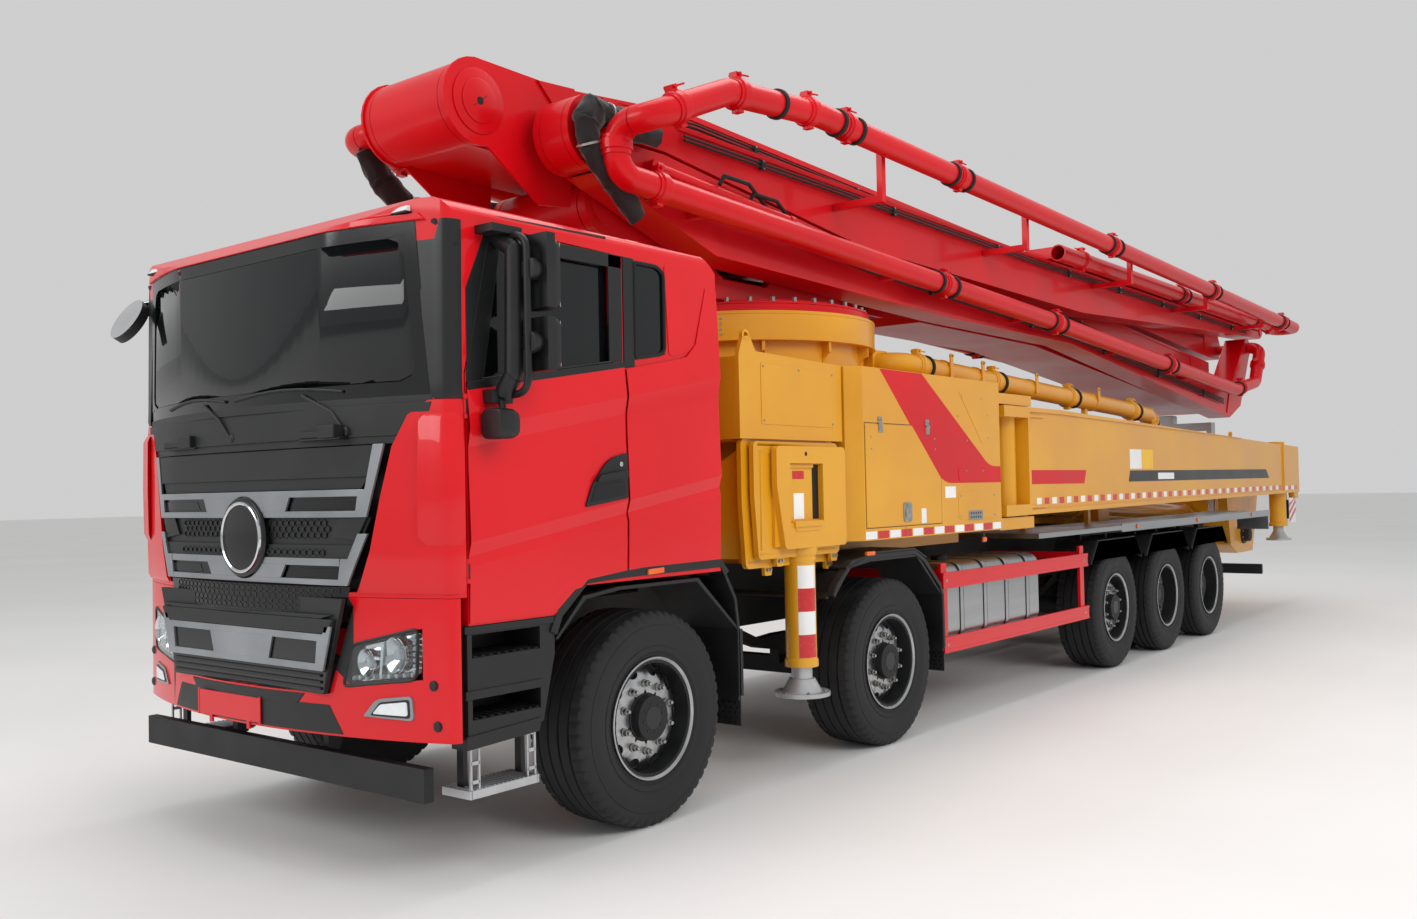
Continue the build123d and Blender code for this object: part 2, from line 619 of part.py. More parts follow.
def outrigger_frame():
    core = box(-CORE_HALF, CORE_HALF, LEG_Y1, COVER_Y1, DECK_Z - 40, PEDESTAL_Z0)
    house = [box(-20, 20, LEG_Y0 + LEG_WALL, LEG_Y1 - LEG_WALL, LEG_Z0 + LEG_WALL, LEG_Z1 - LEG_WALL)]
    shared = collar_parts(0, 885, 1830, 1200, LEG_Z1, 30) + slide_pads(0, HOUSE_X - 100, HOUSE_X, 0, FIT)
    for plate in ring_plates(LEG_TUBES[0], tube_bore(0), 0, HOUSE_X, True) + shared:
        house += both(plate)
    brow = box(-HOUSE_X, HOUSE_X, 850, LEG_Y1, LEG_Z1, 2390)
    post = box(-CORE_HALF, CORE_HALF, 850, LEG_Y0, LEG_Z0, LEG_Z1)
    neck = rod_z(0, SLEW_Y, PEDESTAL_Z0, PEDESTAL_Z1 - 190, NECK_R)
    neck += rod_z(0, SLEW_Y, PEDESTAL_Z1 - 190, PEDESTAL_Z1, PEDESTAL_R)
    neck += box(480, 700, 3050, 3250, 2430, 2630)
    for angle in range(0, 360, 30):
        gusset = box(NECK_R - 60, PEDESTAL_R - 12, -10, 10, PEDESTAL_Z1 - 330, PEDESTAL_Z1 - 185)
        gusset -= Pos(PEDESTAL_R, 0, PEDESTAL_Z1 - 330) * Rot(90, 0, 0) * Cylinder(75, 60)
        neck += Pos(0, SLEW_Y, 0) * Rot(0, 0, angle + 15) * gusset
    pieces = [core, brow, post, neck] + house
    side_wall = side_plate([(850, LEG_Z1), (850, 2400), (890, 2500), (955, 2510), (1010, 2425),
                            (1900, 2400), (1900, LEG_Z1)],
                           HOUSE_X, HOUSE_X + 25)
    pieces += both(side_wall)
    for sign in (1, -1):
        x = sign * (BEAM_IN + BODY_HALF) / 2
        for z0, z1 in ((1300, 1390), (2250, 2330)):
            x0, x1 = sorted((sign * 600, sign * (BODY_HALF - 25)))
            eye = box(x0, x1, COVER_Y1, 4560, z0, z1) - rod_z(x, BEAM_PIVOT_Y, 1200, 2400, PIVOT_R + FIT)
            pieces.append(eye)
        x0, x1 = sorted((sign * 560, sign * 640))
        pieces.append(box(x0, x1, COVER_Y1, 4560, 1390, 2250))
        x0, x1 = sorted((sign * COVER_IN, sign * (BODY_HALF - 5)))
        out = sign * (BODY_HALF - 5)
        edge = sign * (BODY_HALF - 90)
        cover = plan_plate([(sign * COVER_IN, COVER_Y0), (edge, COVER_Y0), (out, COVER_Y0 + 80),
                            (out, COVER_Y1 - 12),
                            (sign * COVER_IN, COVER_Y1 - 12)], COVER_Z0, COVER_Z1)
        pieces.append(cover)
        x0, x1 = sorted((sign * CORE_HALF, sign * COVER_IN))
        pieces.append(box(x0, x1, COVER_Y0 + 200, COVER_Y1 - 270, COVER_Z0 + 200, COVER_Z1 - 200))
    for piece in pieces:
        add("outrigger_frame", piece)


def tube_bore(stage):
    """Inside of a telescope tube: y0, y1, z0, z1."""
    y0, y1, z0, z1 = LEG_TUBES[stage]
    return y0 + LEG_WALL, y1 - LEG_WALL, z0 + LEG_WALL, z1 - LEG_WALL


def ring_plates(outer, inner, x0, x1, slot=False):
    """Four plates between two rectangles (y0, y1, z0, z1), the lower one parted by the jack's way."""
    y0, y1, z0, z1 = outer
    a0, a1, b0, b1 = inner
    plates = [box(x0, x1, y0, y1, b1, z1), box(x0, x1, y0, a0, b0, b1), box(x0, x1, a1, y1, b0, b1)]
    if not slot or x1 <= JACK_SLOT_X:
        return plates + [box(x0, x1, y0, y1, z0, b0)]
    start = max(x0, JACK_SLOT_X)
    if start > x0:
        plates.append(box(x0, start, y0, y1, z0, b0))
    plates.append(box(start, x1, y0, JACK_Y - JACK_SLOT, z0, b0))
    plates.append(box(start, x1, JACK_Y + JACK_SLOT, y1, z0, b0))
    return plates


def slide_pads(stage, x0, x1, fit_outer, fit_inner):
    """Pads that fill the gap between a tube's bore and the next tube, less a fit on one face."""
    a0, a1, b0, b1 = tube_bore(stage)
    c0, c1, d0, d1 = LEG_TUBES[stage + 1]
    f, g = fit_outer, fit_inner
    return ring_plates((a0 + f, a1 - f, b0 + f, b1 - f), (c0 - g, c1 + g, d0 - g, d1 + g), x0, x1,
                       x1 > JACK_SLOT_X)


def collar(stage, y0, y1, z0, z1, slant):
    """Flange plate round a tube's mouth, its lower front corner cut at a slant."""
    x0, x1 = COLLAR_X[stage]
    plate = side_plate([(y0, z1), (y0, z0 + 360), (y0 + slant, z0), (y1, z0), (y1, z1)], x0, x1)
    return fillet(plate.edges().filter_by(Axis.X), 32)


def collar_parts(stage, y0, y1, z0, z1, slant):
    """The collar of an open mouth in flat parts round the tube and beside the jack's way."""
    x0, x1 = COLLAR_X[stage]
    whole = collar(stage, y0, y1, z0, z1, slant)
    t0, t1, u0, u1 = LEG_TUBES[stage]
    far = 3000
    cuts = [(y0 - 9, t0, u0, far), (t1, y1 + 9, u0, far), (t0, t1, u1, far),
            (y0 - 9, JACK_Y - JACK_SLOT, 0, u0), (JACK_Y + JACK_SLOT, y1 + 9, 0, u0)]
    parts = [whole & box(x0, x1, *cut) for cut in cuts]
    return [part for part in parts if part is not None and part.volume > 1000]


def front_legs():
    jack_x = HOUSE_X
    for side, sign in sides():
        x_out = COLLAR_X[1][1]
        plates = ring_plates(LEG_TUBES[1], tube_bore(1), 120, x_out, True)
        plates += collar_parts(1, 935, 1800, 1250, 1915, 34)
        plates += slide_pads(1, x_out - 90, x_out, 0, FIT) + slide_pads(0, 120, 240, FIT, 0)
        for plate in plates:
            add(f"front_leg_{side}", on_side(plate, sign))
        y0, y1, z0, z1 = LEG_TUBES[2]
        x_out = COLLAR_X[2][1]
        bore = rod_z(jack_x, JACK_Y, FRONT_TUBE_Z0 - 10, z1 - 60, JACK_ROD_R + FIT)
        window = box(x_out - 40, x_out + 5, 1213, 1552, 1450, 1790)
        flange = collar(2, 1080, 1800, 1300, 1890, 75) - window
        arm = [box(180, COLLAR_X[2][0], y0, y1, z0, z1) - bore, flange - bore]
        arm += slide_pads(1, 180, 300, FIT, 0)
        arm.append(rod_z(jack_x, JACK_Y, FRONT_TUBE_Z0, z0, JACK_TUBE_R) - bore - flange)
        for piece in arm:
            add(f"front_arm_{side}", on_side(piece, sign))
        foot = rod_z(jack_x, JACK_Y, FRONT_FOOT_Z, FRONT_FOOT_Z + 24, FOOT_R)
        foot += Pos(jack_x, JACK_Y, FRONT_FOOT_Z + 24 + 38) * Cone(FOOT_R * 0.72, JACK_ROD_R + 14, 76)
        add(f"front_jack_{side}", on_side(foot, sign))
        add(f"front_jack_{side}", on_side(rod_z(jack_x, JACK_Y, FRONT_FOOT_Z + 100, 1740, JACK_ROD_R), sign))


def rear_legs():
    x_mid = (BEAM_IN + BODY_HALF) / 2
    for side, sign in sides():
        z_f, z_r = BEAM_FRONT_Z, BEAM_REAR_Z
        beam = side_plate(
            [(BEAM_Y0, z_f[0]), (BEAM_Y1, z_r[0]), (BEAM_Y1, z_r[1]), (5070, z_f[1]), (BEAM_Y0, z_f[1])],
            BEAM_IN, BODY_HALF,
        )
        beam -= box(BEAM_IN - 5, BODY_HALF + 5, BEAM_Y0 - 5, 4440, 1485, 2155)
        for x0, x1 in ((BODY_HALF - 18, BODY_HALF + 5), (BEAM_IN - 5, BEAM_IN + 18)):
            beam -= side_plate([(4480, 1440), (12120, 1490), (12120, 2080), (5080, 2205), (4480, 2205)],
                               x0, x1)
        beam += rod_z(x_mid, BEAM_PIVOT_Y, 1305, 2325, PIVOT_R)
        beam += rod_z(x_mid, REAR_JACK_Y, REAR_TUBE_Z0, z_r[1] + 60, JACK_TUBE_R + 8)
        beam -= rod_z(x_mid, REAR_JACK_Y, REAR_TUBE_Z0 - 10, z_r[1] + 20, JACK_ROD_R + FIT)
        add(f"rear_leg_{side}", on_side(beam, sign))
        foot = rod_z(x_mid, REAR_JACK_Y, REAR_FOOT_Z, REAR_FOOT_Z + 28, FOOT_R * 0.9)
        foot += Pos(x_mid, REAR_JACK_Y, REAR_FOOT_Z + 28 + 45) * Cone(FOOT_R * 0.7, JACK_ROD_R, 90)
        foot += rod_z(x_mid, REAR_JACK_Y, REAR_FOOT_Z + 100, 2040, JACK_ROD_R)
        add(f"rear_jack_{side}", on_side(foot, sign))


# ---------------------------------------------------------------- deck, pump, hopper
def deck_and_pump():
    deck = box(-BODY_HALF + 5, BODY_HALF - 5, 4600, DECK_Y1, DECK_Z - 40, DECK_Z)
    deck -= box(-560, 560, 6000, DECK_Y1 + 10, DECK_Z - 50, DECK_Z + 10)
    for sign in (1, -1):
        x0, x1 = sorted((sign * (BODY_HALF - 380), sign * (BODY_HALF - 20)))
        deck += box(x0, x1, DECK_Y1 - 35, DECK_Y1, DECK_Z - 220, DECK_Z - 38)
    rest = box(-660, 660, 11150, 11300, 2250, 2350) + box(-200, 200, 11150, 11300, 2340, REST_Z)
    for piece in both(box(600, 660, 11150, 11300, DECK_Z, 2260)):
        rest += piece
    add("deck_and_tanks", deck)
    add("deck_and_tanks", rest)
    add("deck_and_tanks", box(-560, 560, 4650, 5900, DECK_Z, 1980))
    shell = side_plate(
        [(HOPPER_Y0, HOPPER_Z1), (HOPPER_Y0 + 120, HOPPER_Z0 + 120), (HOPPER_Y0 + 400, HOPPER_Z0),
         (HOPPER_Y1 - 300, HOPPER_Z0), (HOPPER_Y1, HOPPER_Z1)],
        -HOPPER_HALF, HOPPER_HALF,
    )
    pump = box(-420, 420, 8000, 8300, DECK_Z - 40, 1450)
    for x in (-180, 180):
        pump += rod_between((x, 6100, 1500), (x, HOPPER_Y0 + 140, 1190), 120)
    add("pump_unit", pump - shell)
    w = HOPPER_WALL
    shell -= side_plate(
        [(HOPPER_Y0 + w, HOPPER_Z1 + 5), (HOPPER_Y0 + 120 + w, HOPPER_Z0 + 150),
         (HOPPER_Y0 + 420, HOPPER_Z0 + w),
         (HOPPER_Y1 - 320, HOPPER_Z0 + w), (HOPPER_Y1 - w, HOPPER_Z1 + 5)],
        -HOPPER_HALF + w, HOPPER_HALF - w,
    )
    for piece in both(box(RAIL_IN, RAIL_OUT, RAIL_Y1, HOPPER_Y0 + 100, 880, 1040)):
        shell += piece
    y, z = LID_PIN
    shell += box(-HOPPER_HALF + w - 2, HOPPER_HALF - w + 2, y - 40, y - 20, HOPPER_Z1 - 70, HOPPER_Z1 - 8)
    for x in (-560, 560):
        shell += box(x - 12, x + 12, y - 22, y + 22, HOPPER_Z1 - 70, z) + rod_x(x - 12, x + 12, y, z, 22)
    shell += rod_x(-560, 560, y, z, LID_PIN_R)
    add("hopper", shell)
    lid = box(-HOPPER_HALF + 10, HOPPER_HALF - 10, y + 25, HOPPER_Y1 - 30, HOPPER_Z1 + FIT, HOPPER_Z1 + 40)
    for i in range(7):
        x0 = -HOPPER_HALF + 70 + i * 180
        lid -= box(x0, x0 + 140, HOPPER_Y0 + 350, HOPPER_Y1 - 80, HOPPER_Z1, HOPPER_Z1 + 60)
    for x in (-400, 400):
        lid += rod_x(x - 60, x + 60, y, z, 18) + box(x - 60, x + 60, y, y + 30, z - 8, z + 8)
    lid -= rod_x(-HOPPER_HALF, HOPPER_HALF, y, z, LID_PIN_R + FIT)
    add("hopper_lid", lid)
    x = DECK_LINE_X
    line = pipe([(300, 11300, 1500), (300, 10600, 1950), (x, 8300, 2330), (x, 7500, 2375), (x, 3150, 2530),
                 (700 + FIT, 3150, 2530)], 80, 140)
    for y, z0 in ((3800, COVER_Z1), (5200, DECK_Z), (6600, DECK_Z)):
        line += box(x - 20, x + 20, y - 30, y + 30, z0 + FIT, 2335 + (7500 - y) * 0.0356)
    add("pump_unit", line)


# ---------------------------------------------------------------- turret and boom
def turret():
    y, z = PIN_ROOT
    body = rod_z(0, SLEW_Y, PEDESTAL_Z1 + FIT, RING_Z1, RING_R)
    body += rod_z(0, SLEW_Y, RING_Z1 - 1, TURRET_BASE_Z, 800)
    cheek_x = (LANE_HALF + GAP, LANE_HALF + GAP + 60)
    cheek = side_plate(
        [(y - 60, z - 155), (1450, TURRET_BASE_Z - 5), (3180, TURRET_BASE_Z - 5), (3050, 3120),
         (1500, 3420), (y + 40, z + 160)],
        *cheek_x,
    )
    cheek += rod_x(cheek_x[0], cheek_x[1], y, z, ROOT_EYE_R)
    cheek += rod_x(cheek_x[1] - 2, cheek_x[1] + 14, y, z, 110)
    cheek -= rod_x(0, 600, 1700, 3110, 85) + rod_x(0, 600, 2150, 3090, 85)
    cheek -= box(0, 600, 1700, 2150, 3010, 3180)
    for piece in both(cheek):
        body += piece
    body += rod_x(-cheek_x[1], cheek_x[1], y, z, PIN_R)
    for sign in (1, -1):
        x0, x1 = sorted((sign * (BARREL_R + GAP), sign * (BARREL_R + GAP + 50)))
        lug = box(x0, x1, BARREL_PIN[0] - 90, BARREL_PIN[0] + 90, TURRET_BASE_Z - 5, BARREL_PIN[1])
        body += lug + rod_x(x0, x1, BARREL_PIN[0], BARREL_PIN[1], 90)
    body += rod_x(-BARREL_R - GAP, BARREL_R + GAP, BARREL_PIN[0], BARREL_PIN[1], 45)
    add("turret", body)
    riser = pipe([(-700, 2300, TURRET_BASE_Z), (-700, 2300, 3150), (FAR_OUT_X, 1500, 3260),
                  (FAR_OUT_X, y, z), (FAR_SEAM - 3, y, z)],
                 PIPE_R, PIPE_BEND)
    add("turret", riser)


def lift_cylinder():
    y, z = BARREL_PIN
    end_y, end_z = ROD_PIN
    long = math.hypot(end_y - y, end_z - z)
    ux, uz = (end_y - y) / long, (end_z - z) / long

    def at(distance):
        return (0, y + ux * distance, z + uz * distance)

    eye = rod_x(-BARREL_R, BARREL_R, y, z, 90)
    barrel = eye + rod_between(at(60), at(BARREL_LONG), BARREL_R)
    barrel -= rod_between(at(150), at(BARREL_LONG + 5), ROD_R + FIT)
    barrel -= rod_x(-BARREL_R - 5, BARREL_R + 5, y, z, 45 + FIT)
    add("lift_barrel", barrel)
    rod = rod_between(at(170), at(long), ROD_R) + rod_x(-60, 60, end_y, end_z, 85)
    add("lift_rod", rod)


def hinge_end(body, pin, radius, x0, x1, plates, below, toward):
    """Ends a boom section at a pin: the beam stops clear of the eye, and plates reach round it.
    toward is +1 where the beam runs to larger Y from the pin; below tells on which side it lies."""
    y, z = pin
    body -= rod_x(x0 - 5, x1 + 5, y, z, radius + EYE_CLEAR)
    reach = radius + EYE_CLEAR + 330
    ya, yb = sorted((y, y + toward * reach))
    za, zb = (z - radius, z - EYE_CLEAR) if below else (z + EYE_CLEAR, z + radius)
    for p0, p1 in plates:
        body += box(p0, p1, ya, yb, za, zb) + rod_x(p0, p1, y, z, radius)
    return body


def bored(body, pin, x0, x1):
    return body - rod_x(x0 - 10, x1 + 10, pin[0], pin[1], PIN_R + FIT)


def fork(x0, x1):
    return [(x0, x0 + CHEEK), (x1 - CHEEK, x1)]


def tongue(x0, x1):
    return [(x0 + CHEEK + GAP / 2, x1 - CHEEK - GAP / 2)]


def panelled(body, outline, x0, x1):
    """Leaves the edges of a boom section standing proud of its side plates."""
    return body - side_plate(outline, x0 - 5, x0 + EDGE_PROUD) - side_plate(outline, x1 - EDGE_PROUD, x1 + 5)


def boom():
    w0, w1 = -LANE_HALF, LANE_HALF
    n0, n1 = NEAR_X0, NEAR_X1
    # section 1: root pin over the turret to the rear pin 12
    one = side_plate(
        [(PIN_ROOT[0], 3140), (4250, 3205), (4420, 2990), (6700, 2975), (11900, 2500), (12250, 2600),
         (12250, 2840),
         (11650, 2840), (4300, 3450), (PIN_ROOT[0], 3465)],
        w0, w1,
    )
    one += rod_x(w0, w1, *PIN_ROOT, ROOT_EYE_R)
    one = bored(one, PIN_ROOT, w0, w1)
    one = hinge_end(one, PIN_12, EYE_12_R, w0, w1, fork(w0, w1), True, -1)
    one += rod_x(w0, w1, *PIN_12, PIN_R)
    for sign in (1, -1):
        x0, x1 = sorted((sign * 75, sign * 115))
        one += box(x0, x1, ROD_PIN[0] - 110, ROD_PIN[0] + 110, ROD_PIN[1] - 60, 3300)
    one = panelled(one, [(800, 3160), (4250, 3225), (4450, 3020), (6700, 3005), (11500, 2560),
                         (11500, 2810), (4300, 3425), (800, 3440)], w0, w1)
    one += rod_x(w0 - 16, w0 + 2, *PIN_12, 105) + rod_x(w1 - 2, w1 + 16, *PIN_12, 105)
    add("boom_1", one)
    # section 2: rear pin 12 forward to the front pin 23
    two = side_plate(
        [(PIN_23[0], 3505), (300, 3490), (4300, 3475), (11650, 2860), (12250, 2860), (12250, 3190),
         (4300, 3720), (2000, 3735),
         (400, 3700), (PIN_23[0], 3700)],
        w0, w1,
    )
    two = hinge_end(two, PIN_12, EYE_12_R, w0, w1, tongue(w0, w1), False, -1)
    two = bored(two, PIN_12, w0, w1)
    two = hinge_end(two, PIN_23, EYE_23_R, w0, w1, tongue(w0, w1), True, 1)
    two = bored(two, PIN_23, w0, w1)
    two = panelled(two, [(700, 3525), (4300, 3500), (11500, 2895), (11500, 3210), (4300, 3690),
                         (2000, 3705), (700, 3680)], w0, w1)
    add("boom_2", two)
    # section 3: front pin 23 to the rear, with the cross pin 34 reaching into the near lane
    three = side_plate(
        [(PIN_23[0], 3720), (400, 3720), (2000, 3755), (4300, 3740), (12250, 3260), (12700, 3260),
         (12820, 3400), (12650, 3620),
         (1500, 4050), (150, 3920), (PIN_23[0], 3920)],
        w0, w1,
    )
    three = hinge_end(three, PIN_23, EYE_23_R, w0, w1, fork(w0, w1), False, 1)
    three += rod_x(w0, w1, *PIN_23, PIN_R)
    add("boom_3", rod_x(w1, n1 + 4, *PIN_34, PIN_R))
    three = panelled(three, [(700, 3760), (2000, 3785), (4300, 3770), (12100, 3300), (12100, 3600),
                             (1500, 4015), (700, 3955)], w0, w1)
    three += rod_x(w0 - 16, w0 + 2, *PIN_23, 150) + rod_x(w1 - 2, w1 + 16, *PIN_23, 150)
    three += rod_x(w0 - 30, w0 + 2, *PIN_23, 62) + rod_x(w1 - 2, w1 + 30, *PIN_23, 62)
    add("boom_3", three)
    # section 4: cross pin 34, down and forward along the bottom of the near lane to the front pin 45
    four = side_plate(
        [(PIN_45[0], 3400), (1250, 3060), (4300, 2975), (6700, 2965), (11800, 2430), (12300, 2600),
         (12780, 3300),
         (12620, 3500), (11900, 2850), (3000, 3330), (780, 3580), (PIN_45[0], 3580)],
        n0, n1,
    )
    four += rod_x(n0, n1, *PIN_34, EYE_34_R)
    four = bored(four, PIN_34, n0, n1)
    four = hinge_end(four, PIN_45, EYE_45_R, n0, n1, fork(n0, n1), True, 1)
    four += rod_x(n0, n1, *PIN_45, PIN_R)
    four = panelled(four, [(1300, 3080), (4300, 3005), (6700, 2995), (11700, 2480), (11850, 2790),
                           (3000, 3300), (1100, 3500)], n0, n1)
    four += rod_x(n0 - 14, n0 + 2, *PIN_45, 125) + rod_x(n1 - 2, n1 + 14, *PIN_45, 125)
    add("boom_4", four)
    # section 5: front pin 45 to the rear pin 56
    five = side_plate(
        [(PIN_45[0], 3600), (780, 3600), (3000, 3350), (7000, 3290), (12300, 3525), (PIN_56[0], 3560),
         (PIN_56[0], 3650),
         (12900, 3650), (6000, 3700),
         (2500, 3760), (PIN_45[0], 3790)],
        n0, n1,
    )
    five = hinge_end(five, PIN_45, EYE_45_R, n0, n1, tongue(n0, n1), False, 1)
    five = bored(five, PIN_45, n0, n1)
    five = hinge_end(five, PIN_56, EYE_56_R, n0, n1, fork(n0, n1), True, -1)
    five += rod_x(n0, n1, *PIN_56, PIN_R - 20)
    five = panelled(five, [(900, 3620), (3000, 3378), (7000, 3318), (12200, 3545), (12800, 3630),
                           (6000, 3672), (2500, 3730), (900, 3755)], n0, n1)
    five += rod_x(n0 - 12, n0 + 2, *PIN_56, 62) + rod_x(n1 - 2, n1 + 12, *PIN_56, 62)
    add("boom_5", five)
    # section 6: rear pin 56 forward to the tip
    six = side_plate([(6300, 3725), (12900, 3670), (PIN_56[0], 3670), (PIN_56[0], 3750), (9000, 3860),
                      (6300, 3830)], n0, n1)
    six = hinge_end(six, PIN_56, EYE_56_R, n0, n1, tongue(n0, n1), False, -1)
    six = six - rod_x(n0 - 10, n1 + 10, *PIN_56, PIN_R - 20 + FIT)
    add("boom_6", six)


def boom_pipes():
    x_in, x_out = PIPE_IN_X, PIPE_OUT_X
    seam = (x_in + x_out) / 2
    y34, z34 = PIN_34
    y45, z45 = PIN_45
    y56, z56 = PIN_56
    b = pipe([(NEAR_X1 + 12, y34, z34), (x_in, y34, z34), (x_in, y34 - 300, 2900), (x_in, 11500, 2760),
              (x_in, 5700, 3090),
              (x_in, y45, 3330), (x_in, y45, z45), (seam - 3, y45, z45)], PIPE_R, PIPE_BEND)
    add("boom_4", b)
    a = pipe([(seam + 3, y45, z45), (x_out, y45, z45), (x_out, y45 + 600, 3850), (x_out, 1700, 3930),
              (x_out, y56, z56), (seam + 3, y56, z56)],
             PIPE_R, PIPE_BEND)
    add("boom_5", a)
    c = pipe([(seam - 3, y56, z56), (x_in, y56, z56), (x_in, y56 - 450, TIP_Z), (x_in, TIP_Y, TIP_Z)],
             PIPE_R, PIPE_BEND)
    c -= box(x_in - 100, x_in + 100, TIP_Y - 10, TIP_Y + 400, TIP_Z - 100, TIP_Z + 100)
    c += rod_between((x_in, TIP_Y + 400, TIP_Z), (x_in, TIP_Y, TIP_Z), PIPE_R)
    c -= rod_between((x_in, TIP_Y + 300, TIP_Z), (x_in, TIP_Y - 1, TIP_Z), PIPE_BORE_R)
    add("boom_6", c)
    far_pipes()
    for y in (1000, 3200, 5400, 7600, 9800):
        z_b = 3330 + (3090 - 3330) * (y - y45) / (5700 - y45)
        if y >= 5700:
            z_b = 3090 + (2760 - 3090) * (y - 5700) / (11500 - 5700)
        add("boom_4", box(NEAR_X1 - 5, x_in - PIPE_R + 12, y - 30, y + 30, z_b - 60, z_b - 10))
    for y in (2600, 4900, 7300, 9700, 12000):
        z_a = 3930 + (z56 - 3930) * (y - 1700) / (y56 - 1700)
        arm = box(NEAR_X1 - 5, x_out - PIPE_R + 12, y - 25, y + 25, 3555, 3600)
        post = box(x_out - PIPE_R - 30, x_out - PIPE_R + 12, y - 25, y + 25, 3555, z_a)
        add("boom_5", arm + post)
    for y in (6500, 8700, 11000):
        add("boom_6", box(NEAR_X1 - 5, x_in - PIPE_R + 25, y - 30, y + 30, TIP_Z + 15, TIP_Z + 55))


def on_line(start, end, y):
    """Height of a straight pipe run at y."""
    return start[1] + (end[1] - start[1]) * (y - start[0]) / (end[0] - start[0])


def far_pipes():
    """Delivery pipe of sections 1 to 3, on the right-hand side of the pack."""
    x, out, seam = FAR_IN_X, FAR_OUT_X, FAR_SEAM
    lift = (PIN_23[0] + 450, PIN_23[1] + 120)
    one = pipe([(seam + 3, *PIN_ROOT), (x, *PIN_ROOT), (x, *PIN_12), (seam + 3, *PIN_12)], PIPE_R, PIPE_BEND)
    for y in (3600, 6000, 8500, 10500):
        z = on_line(PIN_ROOT, PIN_12, y)
        one += box(x + 50, -LANE_HALF + EDGE_PROUD + 2, y - 25, y + 25,
                   max(z - 25, 3197 if y < 4000 else 0), z + 30)
    add("boom_1", one)
    two = pipe([(seam - 3, *PIN_12), (out, *PIN_12), (out, *PIN_23), (seam - 3, *PIN_23)], PIPE_R, PIPE_BEND)
    for y, z in ((2500, 3520), (5500, 3400), (8500, 3172)):
        two += box(out + 50, -LANE_HALF + EDGE_PROUD + 2, y - 25, y + 25, z - 20, z + 20)
    add("boom_2", two)
    three = pipe([(seam + 3, *PIN_23), (x, *PIN_23), (x, *lift), (x, *PIN_34),
                  (-LANE_HALF - 12, *PIN_34)], PIPE_R, PIPE_BEND)
    three += rod_x(-LANE_HALF - 13, -LANE_HALF + 2, *PIN_34, 95)
    for y in (2500, 5500, 8500, 11000):
        z = on_line(lift, PIN_34, y)
        three += box(x + 40, -LANE_HALF + EDGE_PROUD + 2, y - 25, y + 25, z + 25, z + 62)
    add("boom_3", three)


# ---------------------------------------------------------------- mirrors and trim
def mirrors():
    m = MIRROR_X
    for side, sign in sides():
        arm = pipe([(BODY_HALF - 5, -1000, 2750), (m, -1000, 2750), (m, -1000, 2080),
                    (BODY_HALF - 5, -1000, 2060)], 16, 70)
        arm += box(m - 70, m + 60, -940, -890, 2440, 2760) + box(m - 70, m + 60, -940, -890, 2170, 2400)
        arm += box(m - 15, m + 15, -1005, -900, 2560, 2590) + box(m - 15, m + 15, -1005, -900, 2270, 2300)
        add(f"door_{side}", on_side(arm, sign))


def export_all():
    os.makedirs("parts", exist_ok=True)
    for node, solids in NODES.items():
        body = Compound(children=[Pos(0, ORIGIN_Y, 0) * s for s in solids])
        export_step(body, f"parts/{node}.step")


chassis()
axles()
knuckles()
wheels()
cab()
bumper()
cab_interior()
steps_and_mudguards()
tanks_and_lockers()
side_guards()
outrigger_frame()
front_legs()
rear_legs()
deck_and_pump()
turret()
lift_cylinder()
boom()
boom_pipes()
mirrors()
export_all()
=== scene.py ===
# %% [markdown]
# # Concrete pump truck
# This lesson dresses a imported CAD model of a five-axle concrete pump truck. The solids
# bring the right sizes, and they move on real joints. Blender adds what the eye wants:
# paint, glass, rubber, lamps, couplings, bolts and edges. Everything is built where the
# solids are, so nothing has to be moved or scaled afterwards.

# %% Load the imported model
import math

import bmesh
import bpy
from mathutils import Matrix, Vector


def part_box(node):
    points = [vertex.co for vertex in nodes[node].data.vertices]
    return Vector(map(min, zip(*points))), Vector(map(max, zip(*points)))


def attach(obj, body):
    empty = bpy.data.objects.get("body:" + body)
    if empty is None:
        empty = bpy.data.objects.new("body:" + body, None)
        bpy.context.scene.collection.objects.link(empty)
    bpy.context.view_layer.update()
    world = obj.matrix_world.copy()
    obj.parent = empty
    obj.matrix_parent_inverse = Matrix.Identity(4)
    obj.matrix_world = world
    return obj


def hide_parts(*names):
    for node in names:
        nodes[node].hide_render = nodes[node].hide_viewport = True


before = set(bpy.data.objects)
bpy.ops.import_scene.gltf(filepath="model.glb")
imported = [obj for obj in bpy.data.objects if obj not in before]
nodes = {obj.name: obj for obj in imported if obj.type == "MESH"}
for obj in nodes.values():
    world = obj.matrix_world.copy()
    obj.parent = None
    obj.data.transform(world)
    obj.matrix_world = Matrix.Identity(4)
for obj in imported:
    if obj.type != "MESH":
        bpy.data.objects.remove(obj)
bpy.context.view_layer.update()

# %% [markdown]
# ## One way of measuring
# A truck is drawn in millimetres from its first axle, so all sizes below are in
# millimetres: X to the truck's left, Y to the rear from the first axle, Z up from the
# ground. The frame itself is in metres from the middle of the truck. One matrix turns
# the drawing's numbers into the frame's, and it takes the axle from the front rim.

# %% Drawing units
MM = 0.001
rim_low, rim_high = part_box("rim_1_left")
AXLE_1 = (rim_low.y + rim_high.y) / 2
TO_FRAME = Matrix.Translation((0, AXLE_1, 0)) @ Matrix.Scale(MM, 4)
TWO_SIDES = (("left", 1), ("right", -1))
print("first axle at Y =", round(AXLE_1, 3), "m")

